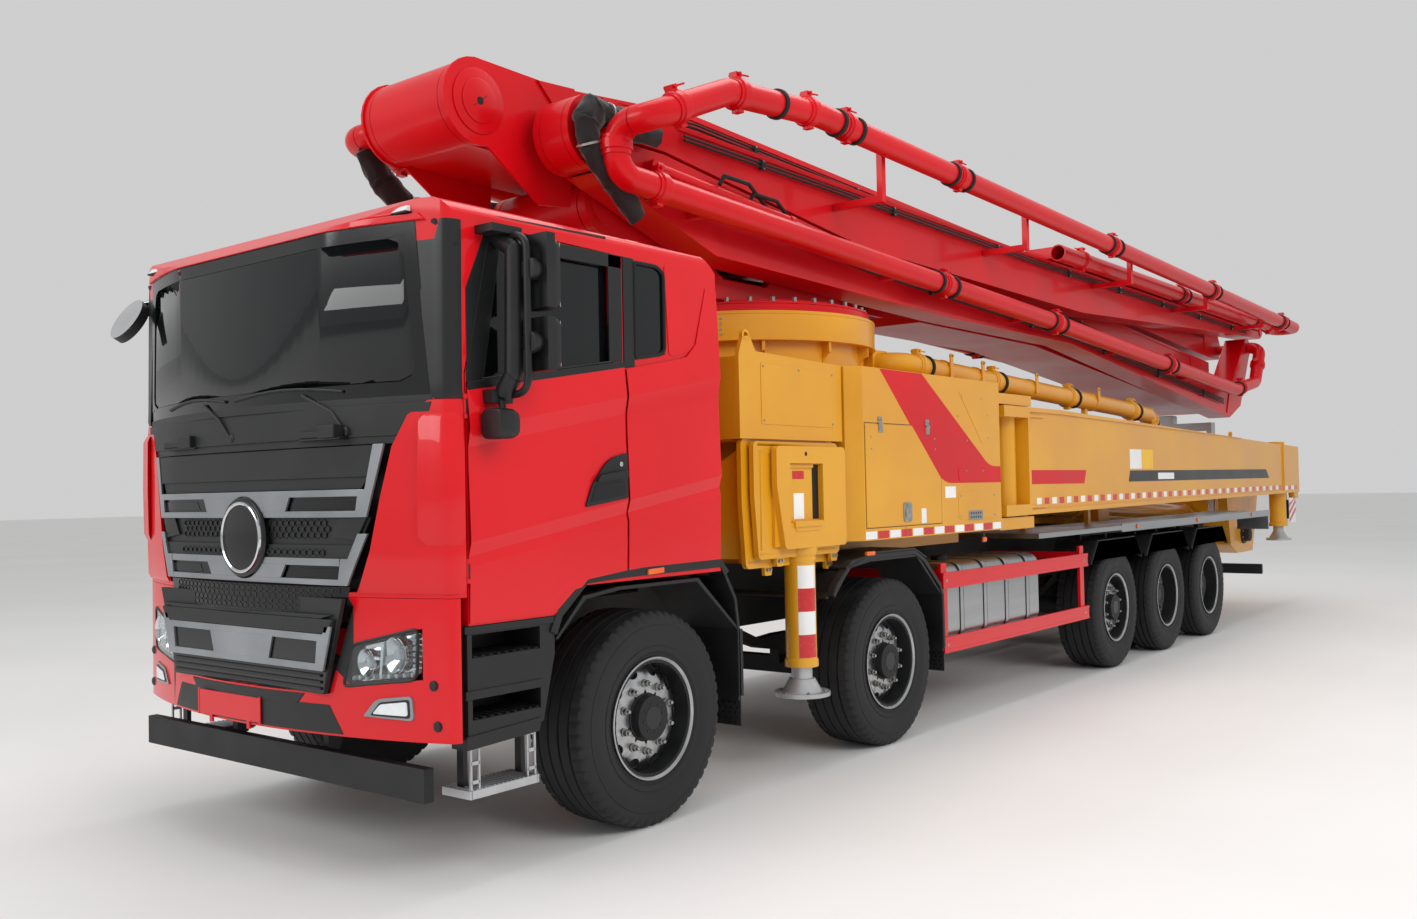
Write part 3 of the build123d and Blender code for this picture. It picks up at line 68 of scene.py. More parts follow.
# %% [markdown]
# ## A bench to build on
# Brackets, trims, bolts and pipes are all made from a few shapes: a block, a plate cut
# to an outline, a turned part and a bent pipe. They could be primitives with many
# modifiers, but then each would be an object of its own. A small class collects them
# in one bmesh instead, and gives one tidy object for each real piece, with a narrow
# bevel so that its edges catch the light as pressed and machined edges do.

# %% Bench: a small kit of shapes
class Bench:
    """Collects shapes in drawing millimetres and makes one object of them."""

    def __init__(self):
        self.mesh = bmesh.new()
        self.slot = 0
        self.materials = []

    def use(self, material):
        """Shapes that follow get this material."""
        if material not in self.materials:
            self.materials.append(material)
        self.slot = self.materials.index(material)
        return self

    def skin(self, rings, closed=False, capped=True):
        """Joins rings of points into a surface; every ring has as many points."""
        made = [[self.mesh.verts.new(p) for p in ring] for ring in rings]
        count = len(made[0])
        pairs = list(zip(made, made[1:]))
        if closed:
            pairs.append((made[-1], made[0]))
        for one, two in pairs:
            for i in range(count):
                j = (i + 1) % count
                self.mesh.faces.new((one[i], one[j], two[j], two[i])).material_index = self.slot
        if capped and not closed:
            self.mesh.faces.new(made[0][::-1]).material_index = self.slot
            self.mesh.faces.new(made[-1]).material_index = self.slot
        return self

    def block(self, low, high):
        """Block between two opposite corners."""
        (x0, y0, z0), (x1, y1, z1) = low, high
        return self.plate([(y0, z0), (y1, z0), (y1, z1), (y0, z1)], x0, x1)

    def plate(self, outline, low, high, across="X", shift=None):
        """Outline filled from low to high along an axis; shift bows it along that axis."""
        def place(u, v, w):
            if shift:
                w += shift(u, v)
            return {"X": (w, u, v), "Y": (u, w, v), "Z": (u, v, w)}[across]

        return self.skin([[place(u, v, w) for u, v in outline] for w in (low, high)])

    def bowed(self, outline, low, high, shift, cuts, across="Y"):
        """Outline cut into strips and bowed: shift(u, v) moves each point along the axis."""
        sheet = bmesh.new()
        sheet.faces.new([sheet.verts.new((u, v, 0)) for u, v in outline])
        for (u, v), (du, dv) in cuts:
            geometry = sheet.verts[:] + sheet.edges[:] + sheet.faces[:]
            bmesh.ops.bisect_plane(sheet, geom=geometry, plane_co=(u, v, 0), plane_no=(dv, -du, 0))
        def place(u, v, w):
            w += shift(u, v)
            return {"X": (w, u, v), "Y": (u, w, v)}[across]
        made = []
        for level in (low, high):
            made.append({v: self.mesh.verts.new(place(v.co.x, v.co.y, level)) for v in sheet.verts})
        for face in sheet.faces:
            corners = list(face.verts)
            for level, order in ((0, corners), (1, corners[::-1])):
                self.mesh.faces.new([made[level][v] for v in order]).material_index = self.slot
        for edge in sheet.edges:
            if len(edge.link_faces) == 1:
                a, b = edge.verts
                rim = (made[0][a], made[0][b], made[1][b], made[1][a])
                self.mesh.faces.new(rim).material_index = self.slot
        sheet.free()
        return self

    def turned(self, profile, centre, axis="X", sides=32, closed=False):
        """Profile of (place along the axis, radius) turned round the axis."""
        rings = []
        for along, radius in profile:
            ring = []
            for i in range(sides):
                angle = 2 * math.pi * i / sides
                a, b = radius * math.cos(angle), radius * math.sin(angle)
                ring.append(Vector({"X": (along, a, b), "Y": (a, along, b),
                                    "Z": (a, b, along)}[axis]) + Vector(centre))
            rings.append(ring)
        return self.skin(rings, closed=closed, capped=not closed)

    def rod(self, start, end, radius, end_radius=None, sides=16):
        """Round bar, or a cone when the end radius differs."""
        return self.pipe([start, end], radius, sides, end_radius)

    def pipe(self, points, radius, sides=16, end_radius=None):
        """Pipe through points, its rings carried along without twisting."""
        points = [Vector(p) for p in points]
        ahead = (points[1] - points[0]).normalized()
        side = ahead.orthogonal().normalized()
        rings = []
        for i, point in enumerate(points):
            before = (point - points[i - 1]).normalized() if i else ahead
            after = (points[i + 1] - point).normalized() if i + 1 < len(points) else before
            tangent = (before + after).normalized()
            side = (side - tangent * side.dot(tangent)).normalized()
            up = tangent.cross(side)
            stretch = 1 / max(0.5, math.sqrt((1 + before.dot(after)) / 2))
            wide = radius if end_radius is None or i == 0 else end_radius
            ring = []
            for k in range(sides):
                angle = 2 * math.pi * k / sides
                out = side * math.cos(angle) + up * math.sin(angle)
                ring.append(point + out * wide * min(stretch, 1.1))
            rings.append(ring)
        return self.skin(rings)

    def turn(self, angle, about, axis="X", since=0):
        """Turns the shapes made since a vertex count round a point."""
        self.mesh.verts.ensure_lookup_table()
        bmesh.ops.rotate(
            self.mesh, cent=about, matrix=Matrix.Rotation(math.radians(angle), 3, axis),
            verts=self.mesh.verts[since:],
        )
        return self

    def count(self):
        return len(self.mesh.verts)

    def object(self, name, body, material=None, bevel=3.0, sign=1, smooth=35):
        """One object in the frame, riding on a body; sign -1 is the mirror image."""
        mesh = bpy.data.meshes.new(name)
        work = self.mesh.copy()
        if sign < 0:
            bmesh.ops.scale(work, vec=(-1, 1, 1), verts=work.verts)
        bmesh.ops.transform(work, matrix=TO_FRAME, verts=work.verts)
        bmesh.ops.recalc_face_normals(work, faces=work.faces)
        work.to_mesh(mesh)
        work.free()
        made = bpy.data.objects.new(name, mesh)
        bpy.context.scene.collection.objects.link(made)
        for one in [material] if material else self.materials:
            mesh.materials.append(one)
        soften(made, bevel, smooth)
        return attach(made, body)


def soften(piece, bevel, smooth=35):
    """Narrow rounded edges, and smooth shading wherever faces meet at a small angle."""
    piece.data.shade_smooth()
    if bevel:
        edge = piece.modifiers.new("edges", "BEVEL")
        edge.width = bevel * MM
        edge.segments = 2
        edge.limit_method = "ANGLE"
        edge.angle_limit = math.radians(smooth)
        edge.harden_normals = True
    else:
        piece.data.set_sharp_from_angle(angle=math.radians(smooth))


def rounded(points, radius, steps=5):
    """Outline with its corners rounded; radius is one number or one for each corner."""
    out = []
    count = len(points)
    for i, point in enumerate(points):
        p = Vector(point)
        r = radius[i] if isinstance(radius, (list, tuple)) else radius
        back = Vector(points[i - 1]) - p
        on = Vector(points[(i + 1) % count]) - p
        if r <= 0:
            out.append(tuple(p))
            continue
        r_in = min(r, back.length / 2.05, on.length / 2.05)
        a, b = p + back.normalized() * r_in, p + on.normalized() * r_in
        for k in range(steps + 1):
            t = k / steps
            out.append(tuple(a * (1 - t) ** 2 + p * 2 * t * (1 - t) + b * t ** 2))
    return out


def box_outline(u0, u1, v0, v1, radius=0):
    """Outline of a rectangle, with rounded corners when a radius is given."""
    corners = [(u0, v0), (u1, v0), (u1, v1), (u0, v1)]
    return rounded(corners, radius) if radius else corners


def bend(points, radius, steps=6):
    """Centre line of a bent pipe: straight runs joined by round bends."""
    points = [Vector(p) for p in points]
    out = [points[0]]
    for before, p, after in zip(points, points[1:], points[2:]):
        back, on = (before - p).normalized(), (after - p).normalized()
        half = back.angle(on) / 2
        cut = min(radius / math.tan(half), (before - p).length * 0.49, (after - p).length * 0.49)
        r = cut * math.tan(half)
        centre = p + (back + on).normalized() * (r / math.sin(half))
        a, b = p + back * cut - centre, p + on * cut - centre
        for k in range(steps + 1):
            out.append(centre + a.slerp(b, k / steps) if a.angle(b) > 1e-4 else p)
    out.append(points[-1])
    return out


print("bench ready")

# %% [markdown]
# ## Finishes
# Colours are given as sRGB codes, as on a paint card, and one function turns them to
# the linear values that the shader works with. One more function adds a shader node
# with its settings and links. Each finish then has the same three layers that a real
# one has: colour that drifts a little over the panel, roughness that is uneven, and a
# fine surface relief whose size comes from the way the surface was made.

# %% Colour and node helpers
def linear(code, alpha=1.0):
    """sRGB hex code to linear colour."""
    parts = [int(code[i:i + 2], 16) / 255 for i in (0, 2, 4)]
    return [c / 12.92 if c <= 0.04045 else ((c + 0.055) / 1.055) ** 2.4 for c in parts] + [alpha]


def add_node(tree, kind, settings):
    """Adds a shader node; a setting is a property, a socket's value or a link."""
    made = tree.nodes.new("ShaderNode" + kind)
    for name, value in settings.items():
        if isinstance(name, str) and hasattr(made, name):
            setattr(made, name, value)
        elif isinstance(value, bpy.types.NodeSocket):
            tree.links.new(value, made.inputs[name])
        else:
            made.inputs[name].default_value = value
    return made


def finish(name, colours, drift_mm, roughness, relief_mm, relief, stretch=(1, 1, 1), **sockets):
    """A finish: two colours that drift, a roughness range, and relief of a real grain size."""
    made = bpy.data.materials.new(name)
    made.use_nodes = True
    tree = made.node_tree
    tree.nodes.clear()
    place = add_node(tree, "TexCoord", {}).outputs["Object"]
    place = add_node(tree, "Mapping", {"Vector": place, "Scale": stretch}).outputs[0]
    drift = add_node(tree, "TexNoise", {"Vector": place, "Scale": 1000 / drift_mm, "Detail": 4.0})
    colour = add_node(tree, "ValToRGB", {"Fac": drift.outputs["Fac"]})
    for stop, at, code in zip(colour.color_ramp.elements, (0.35, 0.68), colours):
        stop.position = at
        stop.color = linear(code)
    uneven = add_node(tree, "MapRange", {
        "Value": drift.outputs["Fac"], "From Min": 0.3, "From Max": 0.7,
        "To Min": roughness[0], "To Max": roughness[1],
    })
    grain = add_node(tree, "TexNoise", {"Vector": place, "Scale": 1000 / relief_mm, "Detail": 2.0})
    bump = add_node(tree, "Bump", {
        "Height": grain.outputs["Fac"], "Strength": relief, "Distance": relief_mm * MM * 0.25,
    })
    shader = add_node(tree, "BsdfPrincipled", {
        "Base Color": colour.outputs[0], "Roughness": uneven.outputs[0], "Normal": bump.outputs[0],
        **{key.replace("_", " "): value for key, value in sockets.items()},
    })
    add_node(tree, "OutputMaterial", {"Surface": shader.outputs[0]})
    return made


print("helpers for finishes ready")

# %% [markdown]
# ### Painted steel and painted plastic
# The truck wears two-pack polyurethane enamel, sprayed and baked. It is a smooth film
# over colour, so a clear coat layer gives the sharp reflections, and a very shallow
# relief of about 12 mm waves gives the orange peel that sprayed paint always has. The
# boom and the outriggers are large weldments with a little less gloss than the cab.

# %% Enamels
cab_red = finish("red_two_pack_enamel", ("D40714", "DC0C1A"), 900, (0.3, 0.38), 12, 0.03,
                 Coat_Weight=0.45, Coat_Roughness=0.04, Specular_IOR_Level=0.22)
boom_red = finish("red_boom_enamel", ("C80412", "D60A18"), 700, (0.34, 0.46), 10, 0.06,
                  Coat_Weight=0.25, Coat_Roughness=0.1, Specular_IOR_Level=0.2)
machine_yellow = finish("ochre_yellow_enamel", ("D9950F", "E2A21C"), 800, (0.34, 0.46), 10, 0.06,
                        Coat_Weight=0.4, Coat_Roughness=0.12, IOR=1.5)
frame_black = finish("black_chassis_paint", ("0E0F10", "1A1B1C"), 300, (0.5, 0.7), 8, 0.15, IOR=1.5)
stripe_black = finish("black_stripe_film", ("121314", "18191A"), 500, (0.3, 0.4), 6, 0.02, IOR=1.5)
plate_white = finish("white_sign_enamel", ("E9EAEA", "F4F4F2"), 300, (0.3, 0.4), 5, 0.02, IOR=1.5)
print("enamels ready")

# %% [markdown]
# ### Plastics and rubber
# Grille, mirrors, steps and mudguards are moulded ABS and polypropylene. The mould has
# an etched grain of about 1.5 mm, which scatters light, so black plastic reads as soft
# dark grey beside paint. Tyres, flaps and pipe rings are vulcanised rubber, which is
# darker, duller and has a powdery bloom on its raised parts.

# %% Plastics and rubber
black_plastic = finish("black_moulded_abs", ("131415", "1D1E20"), 250, (0.42, 0.56), 2.5, 0.25, IOR=1.49)
gloss_black = finish("gloss_black_panel", ("08090A", "0E0F10"), 400, (0.1, 0.16), 20, 0.02, IOR=1.5)
silver_trim = finish("silver_lacquered_trim", ("8E9195", "A3A6AA"), 400, (0.3, 0.38), 4, 0.03,
                     Metallic=0.75, Coat_Weight=0.3, Coat_Roughness=0.15)
rubber = finish("vulcanised_rubber", ("101011", "1C1C1D"), 120, (0.62, 0.82), 3, 0.35, IOR=1.52)
tyre_rubber = finish("tyre_rubber", ("141415", "232324"), 160, (0.6, 0.78), 4, 0.4, IOR=1.52)
dark_trim = finish("dark_dash_vinyl", ("1D1C1B", "292826"), 200, (0.5, 0.65), 2, 0.3)
seat_cloth = finish("cream_seat_cloth", ("CFC6B4", "DDD5C5"), 60, (0.8, 0.92), 4, 0.6, Sheen_Weight=0.3)
print("plastics and rubber ready")

# %% [markdown]
# ### Metals, glass and lamp parts
# Rims are forged aluminium, turned and then clear coated; the fuel tank is rolled sheet
# with a brushed grain that runs along it, so its noise is stretched. Chrome is on the
# rods and the lamp bowls. The screens are laminated glass with a dark tint.

# %% Metals
forged_rim = finish("forged_aluminium", ("A9ABAD", "C4C6C8"), 140, (0.24, 0.36), 3, 0.08, Metallic=1.0)
brushed_sheet = finish("brushed_aluminium", ("A4A7A9", "BDBFC1"), 200, (0.3, 0.42), 3, 0.25,
                       stretch=(1, 0.05, 1), Metallic=1.0)
zinc_bolt = finish("zinc_plated_steel", ("A5A6A2", "BFC0BC"), 30, (0.35, 0.5), 2, 0.1, Metallic=1.0)
chrome = finish("hard_chrome", ("C9CACC", "D8D9DB"), 300, (0.05, 0.12), 8, 0.02, Metallic=1.0)
cast_grey = finish("grey_cast_iron", ("2A2A2B", "38383A"), 120, (0.55, 0.75), 3, 0.5, Metallic=0.5)
silver_paint = finish("aluminium_paint", ("B4B6B8", "CBCDCF"), 150, (0.38, 0.5), 5, 0.12, Metallic=0.6)
print("metals ready")

# %% Glass and lamp parts
def clear(name, code, roughness=0.0, weight=1.0):
    """Clear or tinted glass and lens plastic."""
    made = finish(name, (code, code), 500, (roughness, roughness + 0.01), 50, 0.0, IOR=1.45)
    made.node_tree.nodes["Principled BSDF"].inputs["Transmission Weight"].default_value = weight
    return made


tinted_glass = clear("tinted_laminated_glass", "0B0F12", 0.02, 0.25)
side_glass = clear("tempered_side_glass", "14181A", 0.02, 0.5)
lens = clear("polycarbonate_lens", "E8EEF0")
amber_lens = finish("amber_lens", ("E8590C", "F06A14"), 80, (0.12, 0.2), 4, 0.1, Coat_Weight=0.6)
red_lens = finish("red_lens", ("A80A12", "BC1018"), 80, (0.12, 0.2), 4, 0.1, Coat_Weight=0.6)
lamp_white = finish("frosted_lamp_lens", ("D9DEE2", "ECF0F2"), 60, (0.1, 0.2), 6, 0.15, Coat_Weight=0.6)
print("glass and lamp parts ready")

# %% [markdown]
# ## Dressing the solids
# Most solids already have the right shape, so they keep it and only get a finish. Their
# meshes come with sharp edges. Real edges never are, so a weld joins the loose corners
# and a bevel of a few millimetres rounds them. Where one solid has several finishes,
# such as a door with a red skin and a dark lining, its faces are sorted by place.

# %% A helper that dresses a solid
def dress(node, main, bevel=5.0, zones=(), smooth=32):
    """Gives a solid its finish; zones are (finish, test of a face's centre and normal)."""
    piece = nodes[node]
    mesh = piece.data
    if "custom_normal" in mesh.attributes:
        mesh.attributes.remove(mesh.attributes["custom_normal"])
    mesh.materials.clear()
    mesh.materials.append(main)
    for material, test in zones:
        mesh.materials.append(material)
    for face in mesh.polygons:
        face.material_index = 0
        if zones:
            centre = face.center / MM
            centre.y -= AXLE_1 / MM
            for i, (material, test) in enumerate(zones):
                if test(centre, face.normal):
                    face.material_index = i + 1
                    break
    weld = piece.modifiers.new("weld", "WELD")
    weld.merge_threshold = 0.0002
    soften(piece, bevel, smooth)


def each_side(pattern):
    return [pattern.format(side) for side, sign in TWO_SIDES]


print("dressing helper ready")

# %% Plain solids and their finishes
PLAIN = [
    (frame_black, 4, ["chassis_frame", "hopper_lid"]),
    (cast_grey, 4, ["axles"] + [f"knuckle_{n}_{s}" for n in (1, 2) for s, g in TWO_SIDES]),
    (tinted_glass, 0, ["cab_glass"]),
    (black_plastic, 6, ["front_grille", "steps_mudguards"]),
    (lens, 2, ["headlamps"]),
    (cab_red, 6, ["side_guards"]),
    (machine_yellow, 6, ["outrigger_frame", "pump_unit", "hopper"]),
    (machine_yellow, 6, each_side("front_leg_{}") + each_side("front_arm_{}") + each_side("rear_leg_{}")),
    (silver_paint, 4, each_side("front_jack_{}") + each_side("rear_jack_{}")),
    (brushed_sheet, 4, ["deck_and_tanks"]),
    (boom_red, 8, ["turret", "lift_barrel"] + [f"boom_{n}" for n in range(1, 7)]),
    (chrome, 2, ["lift_rod"]),
    (tyre_rubber, 0, [f"tyre_{n}_{s}" for n in range(1, 6) for s, g in TWO_SIDES]),
    (forged_rim, 2, [f"rim_{n}_{s}" for n in range(1, 6) for s, g in TWO_SIDES]),
]
for material, bevel, names in PLAIN:
    for name in names:
        dress(name, material, bevel)
    print(material.name, "on", len(names), "solids")

# %% Solids with more than one finish
def in_window(centre):
    return centre.z > 2110 and 1203 < abs(centre.x) < 1226


for side, sign in TWO_SIDES:
    dress(f"door_{side}", cab_red, 5, [
        (black_plastic, lambda c, n: abs(c.x) > 1262),
        (side_glass, lambda c, n: in_window(c) and abs(n.x) > 0.9),
        (stripe_black, lambda c, n: in_window(c)),
        (dark_trim, lambda c, n: abs(c.x) < 1203),
    ])


CAB_MIDDLE = Vector((0, -450, 2000))
MIRROR_FACE = Vector((0, -0.866, 0.5))


def on_mirror(c):
    """The round kerb mirror and its arm, outside the cab's corner."""
    return c.x < -1205 and c.y < -1100 and 2450 < c.z < 2800


def inner_face(c, n):
    """Cab faces that look into the room, where trim covers the steel."""
    inside = abs(c.x) < 1195 and -1430 < c.y < 475 and 1240 < c.z < 2850
    return inside and (CAB_MIDDLE - c).dot(n) > 0


dress("cab_shell", cab_red, 8, [
    (chrome, lambda c, n: on_mirror(c) and n.dot(MIRROR_FACE) > 0.9),
    (black_plastic, lambda c, n: on_mirror(c)),
    (dark_trim, inner_face),
])
dress("bumper", cab_red, 8, [
    (black_plastic, lambda c, n: -1462 < c.y < -1300 and abs(c.x) < 765 and 798 < c.z < 1218),
])
dress("cab_interior", dark_trim, 20, [(seat_cloth, lambda c, n: -600 < c.y < 200)])
print("cab, doors, bumper and cab interior")

# %% [markdown]
# ## Cab front
# The nose is gently bowed from side to side, so its trim is bowed with it. Each piece
# of trim is drawn as a flat outline in X and Z, cut into upright strips, and moved back
# by the bow of the nose. A real grille is moulded the same way: one curve for all of
# its bars, so that their gaps stay even.

# %% The nose's curve
HALF = 1250.0
NOSE_Y = -1485.0
NOSE_BOW = 225.0
NOSE_RADIUS = (HALF ** 2 + NOSE_BOW ** 2) / (2 * NOSE_BOW)
STRIPS = [((x, 0), (0, 1)) for x in range(-1200, 1201, 80)]


def nose(x, z=0.0):
    """Y of the nose's skin at x and z."""
    bow = NOSE_Y + NOSE_RADIUS - math.sqrt(NOSE_RADIUS ** 2 - min(abs(x), HALF) ** 2)
    lean = -1500 + max(0, z - 2080) * 70 / 730 + max(0, z - 2810) * 1.33
    return max(bow, lean)


def nose_plate(bench, outline, proud, thick=12, sunk=0):
    """Bowed plate whose face stands proud of the nose, sunk so far back in the middle."""
    def face(x, z):
        return nose(x, z) + sink(x, sunk)

    return bench.bowed(outline, -proud, -proud + thick, face, STRIPS)


def sink(x, depth):
    """How far the grille lies behind the nose's curve: most in the middle, nothing at the corners."""
    return depth * (1 - min(1, abs(x) / 760) ** 2)


def mirrored(outline):
    return [(-x, z) for x, z in outline[::-1]]


def both_ways(bench, outline, proud, thick=12, sunk=0):
    nose_plate(bench, outline, proud, thick, sunk)
    return nose_plate(bench, mirrored(outline), proud, thick, sunk)


GRILLE_SUNK = 50
print("nose is", round(NOSE_RADIUS), "mm in radius")

# %% Cowl and upper grille panel
cowl = Bench()
nose_plate(cowl, [(-1150, 1905), (1150, 1905), (1168, 2040), (-1168, 2040)], 12, 14, 20)
nose_plate(cowl, [(-1164, 2036), (1164, 2036), (1170, 2072), (-1170, 2072)], 2, 5)
nose_plate(cowl, [(-1060, 1872), (1060, 1872), (1110, 1912), (-1110, 1912)], 5, 10, 26)
nose_plate(cowl, [(-860, 1735), (860, 1735), (930, 1868), (-930, 1868)], 20, 20, GRILLE_SUNK)
nose_plate(cowl, [(-820, 1683), (820, 1683), (858, 1738), (-858, 1738)], 9, 10, GRILLE_SUNK)
nose_plate(cowl, [(-776, 1242), (776, 1242), (1090, 1868), (1096, 2036), (-1096, 2036), (-1090, 1868)],
           -50, 9)
cowl.object("cowl_panel", "chassis", black_plastic, bevel=4)
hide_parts("front_grille")

pods = Bench()
for x in (600, -570):
    y = nose(x) + 14
    pods.block((x - 150, y - 42, 1898), (x + 150, y + 10, 1912))
    pods.block((x - 140, y - 44, 1910), (x + 60, y - 20, 1940))
    pods.block((x + 20, y - 60, 1905), (x + 140, y + 10, 1962))
pods.object("front_grab_pods", "chassis", black_plastic, bevel=7)
print("cowl with grab pods")

# %% Wing bars of the grille
def wing_bar(bench, ends, centre, wing, z, proud, sunk=GRILLE_SUNK):
    """Two silver strips joined at the middle and at ends that sweep up to a corner."""
    x_low, x_high = ends
    z0, z1, z2, z3 = z
    nose_plate(bench, [(-x_low - 8, z0), (x_low + 8, z0), (x_low + 14, z1), (-x_low - 14, z1)], proud,
               12, sunk)
    top_strip = box_outline(-x_high + 60, x_high - 60, z2, z3)
    nose_plate(bench, top_strip, proud, 12, sunk)
    low, top = centre
    nose_plate(bench, [(-low, z1 - 2), (low, z1 - 2), (top, z2 + 2), (-top, z2 + 2)], proud + 2, 12, sunk)
    both_ways(bench, [(x_low - 52, z0 + 4), (x_low + 8, z0), *wing, (x_low - 32, z3)], proud + 1, 12, sunk)


bars = Bench()
wing_bar(bars, (850, 880), (330, 362), [(952, 1872), (898, 1872), (852, 1681)], (1562, 1590, 1652, 1682), 24)
wing_bar(bars, (742, 762), (290, 330), [(862, 1492), (812, 1492), (756, 1384)], (1268, 1294, 1352, 1384), 24)
bars.object("grille_wing_bars", "chassis", silver_trim, bevel=3)

slots = Bench()
both_ways(slots, [(340, 1588), (822, 1588), (834, 1656), (372, 1656)], 10, 8, GRILLE_SUNK)
both_ways(slots, [(300, 1292), (716, 1292), (736, 1356), (340, 1356)], 10, 8, GRILLE_SUNK)
both_ways(slots, [(420, 1596), (800, 1596), (808, 1640), (450, 1640)], 13, 8, GRILLE_SUNK)
both_ways(slots, [(400, 1300), (690, 1300), (704, 1340), (425, 1340)], 13, 8, GRILLE_SUNK)
slots.object("grille_bar_recesses", "chassis", gloss_black, bevel=2)
print("wing bars fitted")

# %% [markdown]
# Between the bars the grille is a honeycomb. It could be a picture of holes, but close
# up a hole shows its depth, so each cell is a real cup: an outer hexagon that meets its
# neighbours, an inner one at the hole's edge, and a floor far enough behind it to stay
# dark. The real cells are open; the floor is a darker gloss black, painted shade for the
# dark behind the holes.

# %% Honeycomb
def honeycomb(bench, rows, half, z, pitch, proud, depth=22, hole=0.8, sunk=GRILLE_SUNK):
    """Rows of six-sided cups, each row moved by half a pitch."""
    step = pitch * 0.58
    for row in range(rows):
        count = int(half[min(row, len(half) - 1)] * 2 / pitch)
        for i in range(count):
            x = (i - (count - 1) / 2) * pitch + (pitch / 2 if row % 2 else 0)
            rings = []
            for size, back in ((0.5, 0), (0.5 * hole, 0), (0.46 * hole, depth)):
                ring = []
                for k in range(6):
                    angle = math.radians(60 * k + 30)
                    u = x + pitch * 1.1547 * size * math.cos(angle)
                    v = z + row * step + pitch * 0.72 * size * math.sin(angle)
                    ring.append((u, nose(u) + sink(u, sunk) - proud + back, v))
                rings.append(ring)
            bench.use(black_plastic)
            made = [[bench.mesh.verts.new(p) for p in ring] for ring in rings]
            for a, b in zip(made, made[1:]):
                for k in range(6):
                    face = bench.mesh.faces.new((a[k], a[(k + 1) % 6], b[(k + 1) % 6], b[k]))
                    face.material_index = bench.slot
            # The cup's floor in darker gloss black: painted shade for the open hole behind the cell.
            bench.use(gloss_black)
            bench.mesh.faces.new(made[-1]).material_index = bench.slot


mesh_panels = Bench()
mesh_panels.use(black_plastic)
nose_plate(mesh_panels, [(-800, 1440), (800, 1440), (862, 1562), (-862, 1562)], 2, 8, GRILLE_SUNK)
nose_plate(mesh_panels, [(-770, 1384), (770, 1384), (796, 1442), (-796, 1442)], 14, 12, GRILLE_SUNK)
both_ways(mesh_panels, [(640, 1480), (792, 1462), (850, 1560), (690, 1560)], 14, 14, GRILLE_SUNK)
honeycomb(mesh_panels, 3, (620, 600, 620), 1484, 46, 8)
honeycomb(mesh_panels, 1, (600,), 1408, 46, 20, hole=0.7)
nose_plate(mesh_panels, [(-706, 1142), (706, 1142), (746, 1262), (-746, 1262)], 1.5, 5)
honeycomb(mesh_panels, 4, (640, 650, 660, 680), 1164, 46, 4, 4, 0.8, 0)
mesh_panels.object("grille_honeycomb", "chassis", bevel=0)
print("honeycomb panels with open cells")

# %% Badge place
badge = Bench()
front = nose(0) + 26
badge.use(gloss_black).turned(
    [(front + 20, 190), (front - 4, 190), (front - 12, 182), (front - 14, 168), (front - 14, 10)],
    (0, 0, 1472), "Y", 64)
badge.use(chrome).turned(
    [(front - 12, 168), (front - 22, 165), (front - 25, 158), (front - 20, 150), (front - 12, 150)],
    (0, 0, 1472), "Y", 64, closed=True)
badge.object("blank_badge_disc", "chassis", bevel=1.5)
print("plain disc where a badge would be")

# %% [markdown]
# ## Bumper and lamps
# The bumper has its own silver wing bar, a dark mouth below it, and lamps at both
# corners. The mouth's slats stand before a gloss black plate, painted shade for the dark
# behind the opening. A head lamp is built in its real order: a dark bowl, two bright
# reflectors, a chain of small day lamps, and one clear lens in front that follows the bumper.

# %% Bumper bar and mouth
BAR_Y = -1484


def front_strip(bench, outline, y, thick=14):
    """Flat trim of the bumper's middle, facing forward."""
    bench.plate(outline, y, y + thick, across="Y")
    return bench


def front_pair(bench, outline, y, thick=14):
    front_strip(bench, outline, y, thick)
    return front_strip(bench, mirrored(outline), y, thick)


ledge = Bench()
front_strip(ledge, [(-676, 1062), (676, 1062), (716, 1128), (-716, 1128)], BAR_Y + 1, 40)
front_strip(ledge, [(-620, 1124), (620, 1124), (706, 1146), (-706, 1146)], BAR_Y + 6, 34)
ledge.object("bumper_ledge", "chassis", black_plastic, bevel=8)

lip_bar = Bench()
front_strip(lip_bar, [(-640, 902), (640, 902), (652, 934), (-652, 934)], BAR_Y + 2)
front_strip(lip_bar, box_outline(-620, 620, 1030, 1062), BAR_Y + 2)
front_strip(lip_bar, [(-230, 930), (230, 930), (262, 1034), (-262, 1034)], BAR_Y)
front_pair(lip_bar, [(586, 906), (644, 904), (704, 1098), (660, 1098), (644, 1062), (606, 1062)], BAR_Y + 1)
lip_bar.object("bumper_wing_bar", "chassis", silver_trim, bevel=3)

mouth = Bench()
front_pair(mouth, [(236, 930), (596, 930), (612, 1034), (268, 1034)], BAR_Y + 12, 14)
# Gloss black plate behind the slats: painted shade for the dark behind the mouth's opening.
mouth.use(gloss_black)
front_strip(mouth, [(-622, 806), (622, 806), (648, 900), (-648, 900)], -1463, 5)
mouth.use(black_plastic)
for z in (824, 852, 880):
    front_strip(mouth, box_outline(-610, 610, z - 6, z + 6), -1472, 10)
mouth.object("bumper_mouth_and_painted_shade", "chassis", bevel=3)

under = Bench()
nose_plate(under, [(-700, 628), (700, 628), (620, 752), (-620, 752)], 3, 8)
nose_plate(under, [(-420, 742), (420, 742), (470, 792), (-470, 792)], 5, 12)
under.object("bumper_lower_lip", "chassis", black_plastic, bevel=6)

plate = Bench()
plate.block((-352, nose(0) - 7, 636), (170, nose(0) - 2, 748))
plate.block((-358, nose(0) - 9, 630), (-346, nose(0) - 2, 754))
plate.block((164, nose(0) - 9, 630), (176, nose(0) - 2, 754))
for x in (-250, 70):
    plate.block((x - 12, nose(0) - 6, 600), (x + 12, nose(0) + 6, 640))
plate.object("blank_front_plate", "chassis", cab_red, bevel=2)
print("bumper bar, mouth and blank plate")

